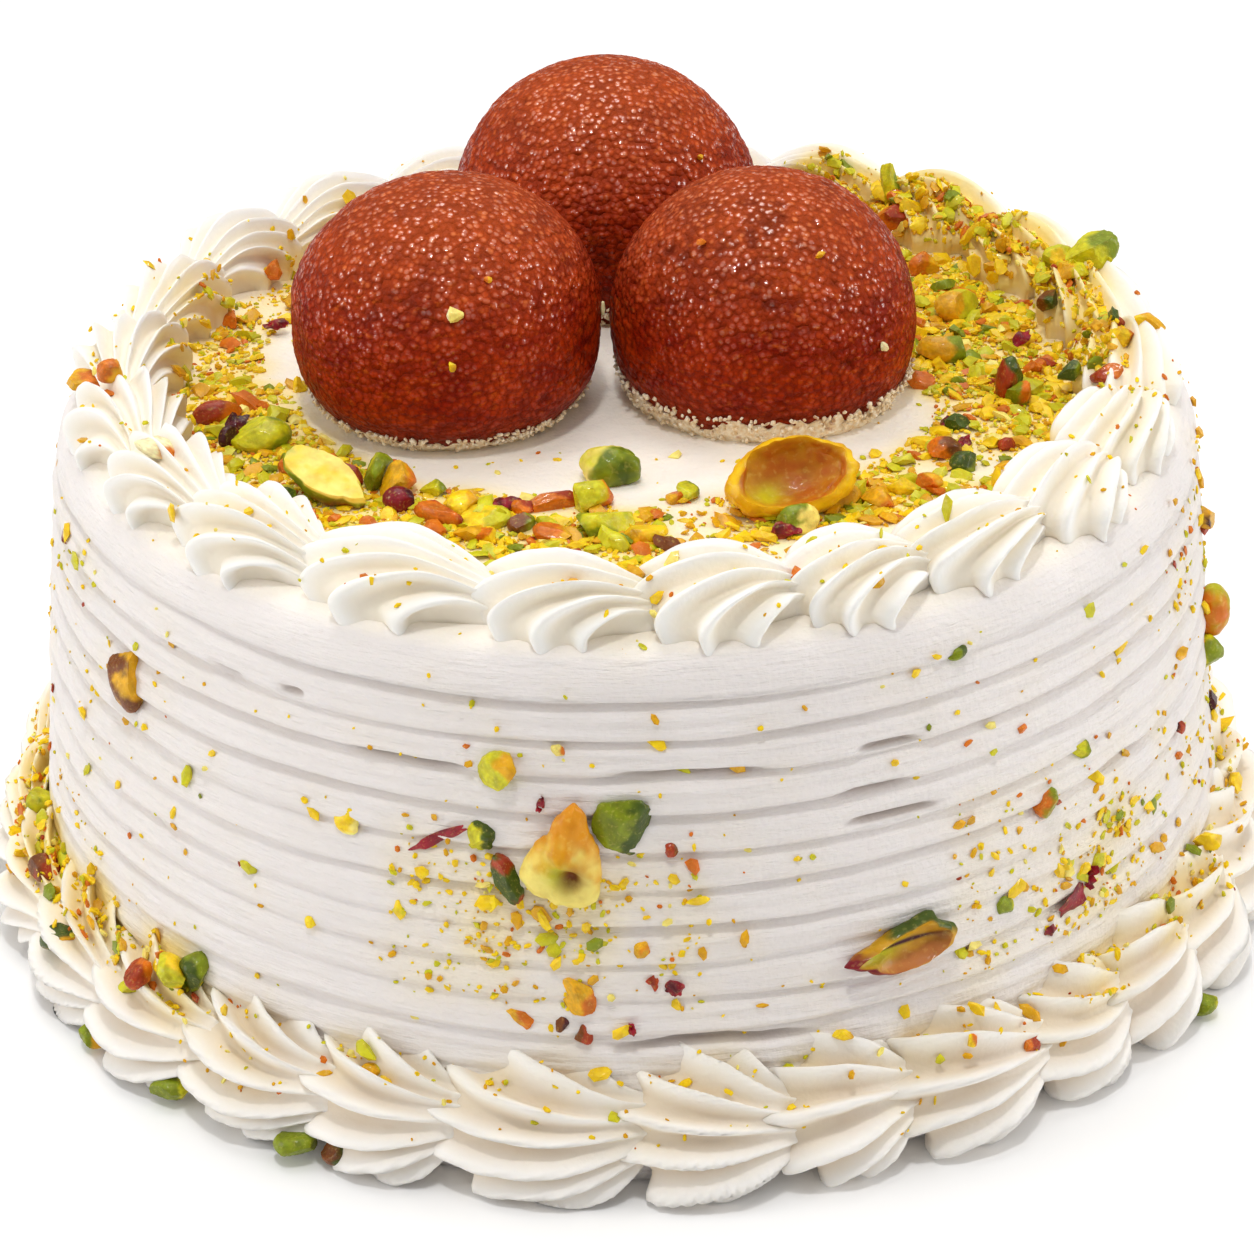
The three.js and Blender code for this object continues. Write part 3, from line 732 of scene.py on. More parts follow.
def turned(normals, spin):
    # a frame on each normal: x to the right as seen from the front, turned by `spin`, and z outwards
    flat = np.abs(normals[:, 2:])
    toward = np.concatenate([0 * flat, flat, 1 - flat], 1)
    side = unit(np.cross(toward, normals))
    other = np.cross(normals, side)
    c, s = np.cos(spin)[:, None], np.sin(spin)[:, None]
    return np.stack([side * c + other * s, other * c - side * s, normals], -1)


def lumps(places, normals, sizes, colours, detail, cuts, rng, roughness=0.18, spin=None, least=0.3):
    # chopped lumps: balls cut flat by random planes, uneven, stretched, and turned onto the cream
    points, faces = ball(detail)
    count = len(places)
    shape = np.repeat(points[None], count, 0)
    for _ in range(cuts):
        plane = unit(rng.normal(size=(count, 1, 3)))
        reach = rng.uniform(least, least + 0.5, (count, 1))
        over = np.clip((shape * plane).sum(-1) - reach, 0, None)
        shape = shape - over[..., None] * plane
    shape = shape * (1 + rng.uniform(-roughness, roughness, (count, len(points), 1)))
    shape = shape * sizes[:, None, :]
    frames = turned(normals, rng.uniform(0, tau, count) if spin is None else spin)
    shape = np.einsum("nij,nkj->nki", frames, shape) + places[:, None, :]
    shade = rng.uniform(0.82, 1.15, (count, len(points), 1))
    tints = np.clip(colours[:, None, :] * shade, 0, 1)
    allFaces = faces[None] + (np.arange(count) * len(points))[:, None, None]
    return shape.reshape(-1, 3), allFaces.reshape(-1, 3), tints.reshape(-1, 3)


def joined(name, parts, material):
    # several sets of lumps as one piece
    points, faces, tints, first = [], [], [], 0
    for shape, triangles, colours in parts:
        points.append(shape)
        faces.append(triangles + first)
        tints.append(colours)
        first += len(shape)
    return newPiece(name, np.concatenate(points), [np.concatenate(faces)], material, "pistachio",
                    np.concatenate(tints), 32)


def palette(shares, count, rng):
    # a colour for each lump, picked by its share of the mix
    names = list(shares)
    odds = np.array([shares[name] for name in names], float)
    picked = rng.choice(len(names), count, p=odds / odds.sum())
    return np.array([nutLook[name] for name in names])[picked]


crumbMix = {"yellow": 10, "gold": 4, "lime": 4, "orange": 1, "pale": 2, "rust": 0.15}
chipMix = {"yellow": 9, "gold": 5, "lime": 5, "pale": 1.5, "orange": 2, "green": 0.6, "rust": 0.25}
nutMix = {"gold": 4, "lime": 5, "yellow": 5, "green": 2.5, "deepGreen": 0.5, "orange": 3, "rust": 0.7,
          "crimson": 0.3, "brown": 0.3}

# Where toppings lie. Each field has its angles, its radii (or, on the side, heights), and its counts.
fieldKeys = ("from", "to", "low", "high", "nuts", "chips", "crumbs")
topFields = [
    (-180, -150, 48, 67, 22, 300, 1300), (-150, -126, 46, 64, 18, 220, 900),
    (-126, -106, 40, 60, 6, 120, 420), (-122, -84, 43, 56, 30, 300, 1100),
    (-108, -80, 52, 62, 6, 90, 420), (-84, -40, 40, 62, 12, 190, 800), (-58, -38, 46, 60, 8, 130, 500),
    (-42, -5, 46, 66, 22, 240, 1100), (-8, 30, 44, 74, 60, 700, 3800), (28, 66, 42, 76, 90, 900, 5200),
    (66, 180, 56, 68, 34, 400, 2200), (-180, 180, 26, 66, 0, 80, 400), (-180, 180, 64, 82, 0, 130, 700),
]
footFields = [
    (-180, -150, 87, 97, 12, 120, 700), (-150, -132, 86, 95, 10, 90, 460),
    (-132, -45, 87, 97, 0, 50, 300), (-46, -20, 86, 96, 5, 60, 360), (-20, 180, 87, 97, 22, 220, 1300),
]
sideFields = [
    (-112, -84, 26, 50, 0, 60, 240), (-104, -92, 34, 46, 0, 40, 150), (-60, -36, 22, 50, 0, 60, 180),
    (-48, -30, 22, 36, 0, 45, 110), (-176, -136, 22, 72, 0, 50, 160), (-136, -20, 20, 74, 0, 90, 190),
    (-34, 8, 22, 76, 0, 110, 280), (8, 180, 22, 74, 0, 160, 520),
]


loose = {
    "footShare": 0.9,  # a ball's foot as a share of its radius
    "smallShare": 2.4,  # above 1, more of the pieces are small
    "onSide": 0.85,  # how much smaller those on the side are
    "proud": 0.45,  # how much of its half thickness a piece stands out of the cream
    "lean": 0.22,
}


def fallen(field, count, rng):
    # places on the top or the foot border, with the way that the cream faces there
    turn = np.radians(rng.uniform(field["from"], field["to"], count))
    radius = np.sqrt(rng.uniform(field["low"] ** 2, field["high"] ** 2, count))
    radius = radius + 1.2 * noise(radius * np.cos(turn), radius * np.sin(turn), 0, 7, 5)
    places = np.stack([radius * np.cos(turn), radius * np.sin(turn), np.zeros(count)], -1)
    thick = noise(places[:, 0], places[:, 1], 0, 8, 6) + 0.8 * rng.uniform(-1, 1, count)
    places = places[thick > -0.4]
    places[:, 2], normals = restingPlace(places)
    return places, normals


def clinging(field, count, rng):
    # places on the combed side
    turn = np.radians(rng.uniform(field["from"], field["to"], count))
    height = rng.uniform(field["low"], field["high"], count)
    thick = noise(turn * cream["wallRadius"], height, 0, 11, 8) + rng.uniform(-1, 1, count)
    turn, height = turn[thick > -0.3], height[thick > -0.3]
    radius = wallRadiusAt(height) + combedRelief(turn, height)[0]
    places = np.stack([radius * np.cos(turn), radius * np.sin(turn), height], -1)
    return places, np.stack([np.cos(turn), np.sin(turn), 0.1 + 0 * turn], -1)


def offBalls(places, clearance):
    # which places lie clear of the balls' feet
    keep = np.ones(len(places), bool)
    for centre, radius, _ in gulabJamuns.values():
        away = np.linalg.norm(places[:, :2] - centre[:2], axis=1)
        keep &= away >= radius * loose["footShare"] + clearance
    return keep


def scatter(key, sizeFrom, sizeTo, mix, detail, cuts, flat, rng, places=("top", "foot", "side")):
    # loose pieces of one kind over the fields; `flat` is their thickness as a share of their width
    kinds = {"top": (topFields, fallen), "foot": (footFields, fallen), "side": (sideFields, clinging)}
    parts = []
    for place in places:
        fields, laid = kinds[place]
        for row in fields:
            field = dict(zip(fieldKeys, row))
            if not field[key]:
                continue
            at, normals = laid(field, field[key], rng)
            keep = offBalls(at, sizeTo) if place == "top" else np.ones(len(at), bool)
            at, normals = at[keep], unit(normals[keep])
            size = sizeFrom + (sizeTo - sizeFrom) * rng.uniform(0, 1, len(at)) ** loose["smallShare"]
            if place == "side":
                size = size * loose["onSide"]
            spread = (1, 1.6), (0.7, 1), (flat, flat + 0.25)
            shares = [rng.uniform(low, high, len(size)) for low, high in spread]
            sizes = size[:, None] * np.stack(shares, -1)
            at = at + normals * sizes[:, 2:] * loose["proud"]
            at[:, 2] = np.maximum(at[:, 2], sizes.max(1) * 0.8)
            lean = unit(normals + rng.normal(0, loose["lean"], normals.shape))
            parts.append(lumps(at, lean, sizes, palette(mix, len(at), rng), detail, cuts, rng))
    return parts


# Gulab jamuns

jamun = {
    "columns": 400,
    "rows": 210,
    "dent": 0.28,
    "wrinkle": 0.13,
    "pebble": 0.08,
    "less": 0.05,
    # the height over the cream up to which a ball gets painted shade low down
    "lowShadeUpTo": 9,
    # the middle's height above the cake's top, and by what share a ball is fuller low down
    "gulab_jamun_left": {"middle": 14.5, "fuller": 0.08},
    "gulab_jamun_right": {"middle": 11.2, "fuller": 0.0},
    "gulab_jamun_back": {"middle": 11.2, "fuller": 0.0},
}


def jamunFrame(node):
    # the ball's middle, its level radius, and its upright radius as a share of that
    low, high = (np.array(corner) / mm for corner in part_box(node))
    radius = (high[0] - low[0] + high[1] - low[1]) / 4
    middle = cream["topHeight"] + jamun[node]["middle"]
    centre = np.array([(low[0] + high[0]) / 2, (low[1] + high[1]) / 2, middle])
    return centre, radius, (high[2] - middle) / radius


gulabJamuns = {node: jamunFrame(node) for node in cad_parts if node.startswith("gulab_jamun")}


def gulabJamun(node, centre, radius, squash, seed):
    # a ball swelled by noise of three sizes, and flat where it rests on the cream
    turn = np.arange(jamun["columns"]) / jamun["columns"] * tau
    down = np.linspace(0.004, pi - 0.004, jamun["rows"])[:, None]
    way = np.stack([np.sin(down) * np.cos(turn), np.sin(down) * np.sin(turn), np.cos(down) + 0 * turn], -1)
    x, y, z = (way * radius).transpose(2, 0, 1)
    dents = noise(x, y, z, 11, seed) + 0.5 * noise(x, y, z, 5, seed + 1)
    wrinkles = 1 - np.abs(noise(x, y, z * 1.7, 2.3, seed + 2)) * 2
    pebbles = noise(x, y, z * 1.2, 0.85, seed + 3)
    swell = jamun["dent"] * dents + jamun["wrinkle"] * wrinkles + jamun["pebble"] * pebbles - jamun["less"]
    full = 1 + jamun[node]["fuller"] * smoothStep(-0.05, -0.6, way[..., 2])
    points = way * (radius + swell)[..., None]
    points = points * np.stack([full, full, 0 * full + squash], -1) + centre
    floor = cream["topHeight"] + 0.1
    # painted shade low down: 1 at the cream, fading to 0 at its given height
    base = smoothStep(jamun["lowShadeUpTo"], 0, points[..., 2] - floor)
    # how high up the ball a point is: it sets the painted sheen and highlights there, and the coat's weight
    high = np.clip(way[..., 2] + 0.4, 0, 1) / 1.4 + 0.3 * smoothStep(0.5, 1, way[..., 2])
    points[..., 2] = np.maximum(points[..., 2], floor)
    rows, columns = x.shape
    ends = np.array([centre + (0, 0, radius * squash), (centre[0], centre[1], floor)])
    points = np.concatenate([points.reshape(-1, 3), ends])
    loop = np.arange(columns)
    faces = [gridFaces(rows, columns, True), fanFaces(len(points) - 2, loop[::-1]),
             fanFaces(len(points) - 1, (rows - 1) * columns + loop)]
    # painted shade: low in the dents and between the wrinkles, carried as relief
    dentShading = 0.5 + 0.25 * (dents + wrinkles)
    looks = {"relief": (dentShading, [0.5, 0.5]), "base": (base, [0, 1]), "high": (high, [1, 0])}
    looks = {key: np.append(*parts) for key, parts in looks.items()}
    name = node.replace("gulab_jamun", "gulab_jamun_skin")
    piece = newPiece(name, points, faces, syrupedCrust, "gulab_jamun", **looks)
    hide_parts(node)


for seed, (node, place) in enumerate(gulabJamuns.items()):
    gulabJamun(node, *place, 100 + 10 * seed)
print("gulab jamuns made")

# Crumbly pale ring round the foot of each ball

ring = {
    "heights": {"gulab_jamun_left": 2.9, "gulab_jamun_right": 4.3, "gulab_jamun_back": 3.2},
    "reach": 0.75,
    "thick": 1.6,
    "rows": 16,
    "columns": 420,
    "crumbs": 620,
    "crumbSize": (0.2, 0.48),
    "pale": linear(254, 245, 224),
    "cream": linear(236, 208, 162),
    "brown": linear(176, 112, 62),
    "crumb": linear(246, 226, 184),
}


def crumbMaterial():
    # pale crumbs with a few brown ones
    shader = Shader("crumbly_ring", Roughness=0.8)
    base = shader.mix(shader.ramp(shader.noise(0.8, 3), 0.35, 0.65), ring["cream"], ring["pale"])
    base = shader.mix(shader.ramp(shader.noise(1.7, 3), 0.6, 0.72, 0.0, 0.7), base, ring["brown"])
    return shader.finish(base, shader.bump(shader.noise(0.6, 3), 0.3, 0.9))


crumblyRing = crumbMaterial()


def crumbRing(node, centre, radius, squash, seed):
    # a ragged band that hugs the ball: its upper edge wanders, and it is lumpy all over; and crumbs on it
    rng = np.random.default_rng(seed)
    floor, height, full = cream["topHeight"], ring["heights"][node], 1 + jamun[node]["fuller"]

    def hugAt(up):
        # the ball's radius at a height above the cream: sqrt(r^2 - d^2), d down from the middle
        below = (centre[2] - floor - up) / squash
        return full * np.sqrt(np.maximum(radius**2 - below**2, 1))

    def circled(reach, up):
        return np.stack([reach * np.cos(turn), reach * np.sin(turn), up], -1)

    turn = np.arange(ring["columns"]) / ring["columns"] * tau
    x, y = 16 * np.cos(turn), 16 * np.sin(turn)
    tall = height * (0.85 + 0.2 * noise(x, y, 0, 6, seed) + 0.3 * noise(x, y, 0, 1.1, seed + 1))
    up = np.linspace(0, 1, ring["rows"])[:, None]
    high = up * np.maximum(tall, 0.5)
    hug = hugAt(high)
    lumpy = 0.55 + 0.45 * noise(x, y, high, 0.9, seed + 2) + 0.35 * noise(x, y, high, 2.2, seed + 3)
    bulge = ring["reach"] * np.sin(pi * np.clip(up + 0.22, 0, 1)) * np.clip(lumpy, 0.1, 2) - 0.5 * (up == 1)
    outer = circled(hug + bulge, high - 0.4 * (up == 0))
    inner = circled(hug[-1] - ring["thick"], high[-1] - 0.3)
    foot = circled(hug[0] - ring["thick"], 0 * turn - 0.4)
    grid = np.concatenate([outer, inner[None], foot[None]]) + (centre[0], centre[1], floor)
    rows, columns = len(grid), len(turn)
    close = gridFaces(2, columns, True)
    close = np.where(close < columns, close + (rows - 1) * columns, close - columns)
    faces = [gridFaces(rows, columns, True)[:, ::-1], close[:, ::-1]]
    name = node.replace("gulab_jamun", "crumb_ring")
    newPiece(name, grid.reshape(-1, 3), faces, crumblyRing, "gulab_jamun")
    count = ring["crumbs"]
    turn = rng.uniform(0, tau, count)
    up = rng.uniform(0, 1, count) ** 0.8 * height * 1.15
    places = circled(hugAt(up) + rng.uniform(0.1, 0.8, count), floor + up) + (centre[0], centre[1], 0)
    normals = unit(circled(1 + 0 * turn, 0.6 + 0 * turn))
    sizes = rng.uniform(*ring["crumbSize"], (count, 3))
    colours = ring["crumb"][None] * rng.uniform(0.75, 1.08, (count, 1))
    shape, triangles, tints = lumps(places, normals, sizes, colours, 0, 0, rng, 0.3)
    name = node.replace("gulab_jamun", "ring_crumbs")
    newPiece(name, shape, [triangles], crumblyRing, "gulab_jamun")


for seed, (node, place) in enumerate(gulabJamuns.items()):
    crumbRing(node, *place, 300 + 10 * seed)
print("crumb rings made")

# Kernels


def onTop(angle, radius, lift):
    # a place on the top and its axes: right, away from the front, up
    turn = radians(angle)
    return np.eye(3), np.array([radius * cos(turn), radius * sin(turn), cream["topHeight"] + lift])


def onSide(angle, height, lift):
    # a place on the side and its axes: round the cake to the right, up, outwards
    turn = radians(angle)
    radius = wallRadiusAt(height) + cream["depth"] + lift
    axes = np.array([(-sin(turn), cos(turn), 0), (0, 0, 1), (cos(turn), sin(turn), 0)])
    return axes, np.array([radius * cos(turn), radius * sin(turn), height])


def placed(points, spot, turn=0.0, tip=0.0, roll=0.0):
    # turns points about z, rolls them about y, tips them about x, and lays them on a place's axes
    spin = Matrix.Rotation(radians(tip), 3, "X") @ Matrix.Rotation(radians(roll), 3, "Y")
    spin = np.array(spin @ Matrix.Rotation(radians(turn), 3, "Z"))
    axes, origin = spot
    return points @ spin.T @ axes + origin


def blend(share, first, second):
    # first colours where share is 0, second ones where it is 1
    share = np.clip(share, 0, 1)[..., None]
    return first * (1 - share) + second * share


def dropProfile(v):
    # a drop from its upper pole down to the lower one
    down = 0.03 + v * (pi - 0.06)
    return np.sin(down), np.cos(down)


def cupProfile(v):
    # from the middle of the hollow, out over the lip, and down to the lower pole
    inside = smoothStep(0, 0.4, v)
    down = radians(60) + np.clip((v - 0.4) / 0.6, 0, 1) * (pi - radians(60) - 0.03)
    radius = np.where(v < 0.4, 0.02 + 0.846 * inside, np.sin(down))
    return radius, np.where(v < 0.4, -0.16 + 0.66 * inside**2.6, np.cos(down))


def spot(x, y, middleX, middleY, halfX, halfY):
    # 1 at its middle, fading to exp(-1) at its half widths
    return np.exp(-(((x - middleX) / halfX) ** 2) - ((y - middleY) / halfY) ** 2)


def goldenShape(x, y, z):
    # a lip that waves
    return z + 0.05 * (z > 0.2) * np.sin(5 * x + 2)


def goldenTint(v, x, y, z, bumps):
    # a yellow lip round an orange hollow, with painted gold highlights on its bumps and a painted lime
    # highlight low on its left
    lip = blend(0.5 + 0.9 * bumps, nutLook["yellow"], nutLook["gold"])
    # painted highlights: gold where the hollow bulges, and lime low on its left
    well = blend(0.25 + 0.5 * bumps, nutLook["orange"] * 0.72, nutLook["gold"] * 0.8)
    well = blend(spot(x, y, -0.45, -0.3, 0.25, 0.35) * 0.8, well, nutLook["lime"])
    return blend(smoothStep(0.44, 0.3, v + 0.05 * bumps), lip, well)


def splitShape(x, y, z):
    # cut flat on its upper side
    return np.minimum(z, 0.3 + 0.12 * x)


def splitTint(v, x, y, z, bumps):
    # pale flesh where it is cut, in a green and brown skin
    skin = blend(smoothStep(-0.3, 0.5, x + 0.5 * bumps), nutLook["green"] * 0.8, nutLook["brown"])
    skin = blend(smoothStep(-0.2, 0.25, z + 0.2 * bumps), skin, nutLook["green"] * 1.25)
    flesh = blend(0.35 + 0.8 * bumps, nutLook["pale"], nutLook["yellow"] * 0.95)
    return blend(smoothStep(0.12, 0.24, z + 0.05 * bumps), skin, flesh)


def greenTint(v, x, y, z, bumps):
    # green, with its cut side lime
    skin = blend(0.5 + 0.9 * bumps, nutLook["deepGreen"] * 1.3, nutLook["green"])
    flesh = blend(0.5 + 0.5 * bumps, nutLook["lime"], nutLook["pale"] * 0.9)
    return blend(smoothStep(0.0, 0.3, x - 0.6 * y + 0.3 * z + 0.2 * bumps), flesh, skin)


def sideShape(x, y, z):
    # a flap folded over a hollow
    hollow = spot(x, y, 0.22, -0.2, 0.32, 0.26)
    flap = spot(x * 0.55 + y, 0.5 * y - x, 0.16, -0.1, 0.14, 0.9)
    return z * (1 + 0.3 * flap - 0.75 * hollow)


def sideTint(v, x, y, z, bumps):
    # pale below, gold and orange above, lime and brown in the hollow
    base = blend(smoothStep(-0.5, 0.6, y + 0.4 * bumps), nutLook["pale"] * 0.95, nutLook["gold"])
    base = blend(smoothStep(-0.1, 0.6, y + 0.2 * x + 0.3 * bumps) * 0.5, base, nutLook["orange"])
    base = blend(spot(x, y, -0.1, -0.1, 0.3, 0.3), base, nutLook["lime"] * 0.9)
    base = blend(spot(x, y, 0.24, -0.2, 0.3, 0.26) * 1.1, base, nutLook["brown"] * 1.1)
    return blend(smoothStep(0.0, -0.45, z) * 0.6, base, nutLook["brown"])


def halfShape(x, y, z):
    # a furrow along the hollow
    return z * (1 - 0.3 * spot(x, y, 0.25, 0.1, 0.5, 0.16))


def halfTint(v, x, y, z, bumps):
    # tan and gold flesh with a plum furrow, in a skin of gold, green and crimson
    flesh = blend(smoothStep(-0.35, 0.35, y + 0.3 * bumps), nutLook["tan"], nutLook["gold"] * 0.85)
    flesh = blend(spot(x, y, -0.45, 0.1, 0.4, 0.4) * 1.1, flesh, nutLook["lime"] * 0.9)
    flesh = blend(spot(x, y, 0.66, 0.05, 0.26, 0.4) * 0.8, flesh, nutLook["brown"])
    flesh = blend(spot(x, y, 0.1, 0.16, 0.6, 0.09) * 1.3, flesh, nutLook["plum"])
    far = smoothStep(0.35, 0.75, y + 0.5 * x + 0.2 * bumps)
    skin = blend(far, nutLook["gold"] * 0.8, nutLook["deepGreen"])
    skin = blend(smoothStep(-0.3, -0.7, x + 0.4 * y + 0.2 * bumps), skin, nutLook["crimson"])
    return blend(smoothStep(0.44, 0.34, v + 0.04 * bumps), skin, flesh)


def edgeTint(v, x, y, z, bumps):
    # orange on its left, lime on its right
    share = smoothStep(-0.6, 0.5, 0.6 * x + z * 0.4 + 0.5 * bumps)
    return blend(share, nutLook["orange"], nutLook["lime"] * 0.8)


kernelGrid = {"columns": 120, "rows": 70, "rough": 0.07, "lumps": 2.4}
# `outline` gives the kernel's reach at some degrees round it
kernels = {
    "golden_pistachio": {
        "slot": "roasted_pistachio", "spot": onTop(-61.5, 48.5, 4.9), "size": (9.3, 5.7, 5.2),
        "turn": 11, "tip": 47, "profile": cupProfile, "shape": goldenShape, "tint": goldenTint,
        "outline": [(0, 0.98), (50, 0.96), (100, 1.02), (150, 0.97), (200, 1.03), (260, 1), (310, 0.97)],
    },
    "split_pistachio": {
        "slot": "pistachio", "spot": onTop(-138.6, 56.6, 3.4), "size": (6.8, 3.6, 3.4),
        "turn": -36, "tip": 26, "roll": 12, "profile": dropProfile, "shape": splitShape, "tint": splitTint,
        "outline": [(0, 1.06), (35, 0.86), (90, 1), (145, 0.95), (178, 0.98), (205, 1.02), (270, 1),
                    (325, 0.88)],
    },
    "green_pistachio": {
        "slot": "pistachio", "spot": onTop(-94, 33, 2.2), "size": (4.6, 3.2, 3.1),
        "turn": -8, "tip": 12, "profile": dropProfile, "tint": greenTint,
        "outline": [(0, 1), (30, 0.85), (60, 1.02), (110, 0.9), (150, 1.08), (200, 0.9), (250, 1.05),
                    (310, 0.9)],
    },
    "side_kernel": {
        "slot": "roasted_pistachio", "spot": onSide(-96, 49.3, 1.2), "size": (5.5, 7.6, 3.0),
        "profile": dropProfile, "shape": sideShape, "tint": sideTint,
        "outline": [(-164, 1.16), (-118, 0.87), (-70, 0.92), (-41, 1.1), (-22, 0.93), (42, 0.88),
                    (76, 1.17), (92, 0.93), (128, 0.64), (168, 0.85)],
    },
    "side_half_kernel": {
        "slot": "pistachio", "spot": onSide(-65.8, 31.2, 1.0), "size": (8.0, 3.7, 2.8),
        "turn": 5, "tip": -6, "profile": cupProfile, "shape": halfShape, "tint": halfTint,
        "outline": [(0, 1), (40, 0.92), (62, 1.18), (80, 0.9), (120, 0.7), (150, 0.72), (180, 1.08),
                    (205, 0.8), (250, 0.95), (310, 0.96)],
    },
    "edge_kernel": {
        "slot": "roasted_pistachio", "spot": onSide(-9, 45.8, 1.1), "size": (3.0, 4.2, 2.7),
        "turn": 8, "profile": dropProfile, "tint": edgeTint,
        "outline": [(0, 0.95), (45, 1.1), (90, 0.92), (135, 1.08), (200, 0.95), (230, 1.06), (290, 0.95)],
    },
}


def kernelSurface(kernel, seed):
    # a closed surface round z: the profile's radius, times the outline's reach that way, and its height,
    # then the kernel's own shape, made uneven by two sizes of noise
    turn = np.arange(kernelGrid["columns"]) / kernelGrid["columns"] * tau
    v = np.linspace(0, 1, kernelGrid["rows"])[:, None]
    radius, height = kernel["profile"](v)
    degrees, reaches = np.array(kernel["outline"], float).T
    reach = np.interp(np.degrees(turn), degrees, reaches, period=360)
    x, y = radius * reach * np.cos(turn), radius * reach * np.sin(turn)
    z = height + 0 * x
    if "shape" in kernel:
        z = kernel["shape"](x, y, z)
    shares = np.stack([x, y, z], -1)
    size = np.array(kernel["size"], float)
    own = (shares * size).transpose(2, 0, 1)
    bumps = noise(*own, kernelGrid["lumps"], seed) + 0.6 * noise(*own, kernelGrid["lumps"] / 2.6, seed + 1)
    points = shares * size * (1 + kernelGrid["rough"] * bumps)[..., None]
    tints = kernel["tint"](v + 0 * x, x, y, z, bumps)
    columns, rows = kernelGrid["columns"], kernelGrid["rows"]
    loop, count = np.arange(columns), rows * columns
    faces = [gridFaces(rows, columns, True), fanFaces(count, loop[::-1]),
             fanFaces(count + 1, count - columns + loop)]
    points = placed(points, kernel["spot"], *(kernel.get(key, 0) for key in ("turn", "tip", "roll")))
    points = np.concatenate([points.reshape(-1, 3), points[[0, -1]].mean(1)])
    return points, faces, np.concatenate([tints.reshape(-1, 3), tints[[0, -1]].mean(1)])


for seed, (node, kernel) in enumerate(kernels.items()):
    points, faces, tints = kernelSurface(kernel, 500 + 7 * seed)
    piece = newPiece(node + "_nut", points, faces, kernelNut, kernel["slot"], tints, 40)
    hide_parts(node)
print("kernels made")

# Chopped pieces that the photograph shows one by one.
# Each has an angle, a radius (top) or a height (side), half sizes, a turn and two colours.

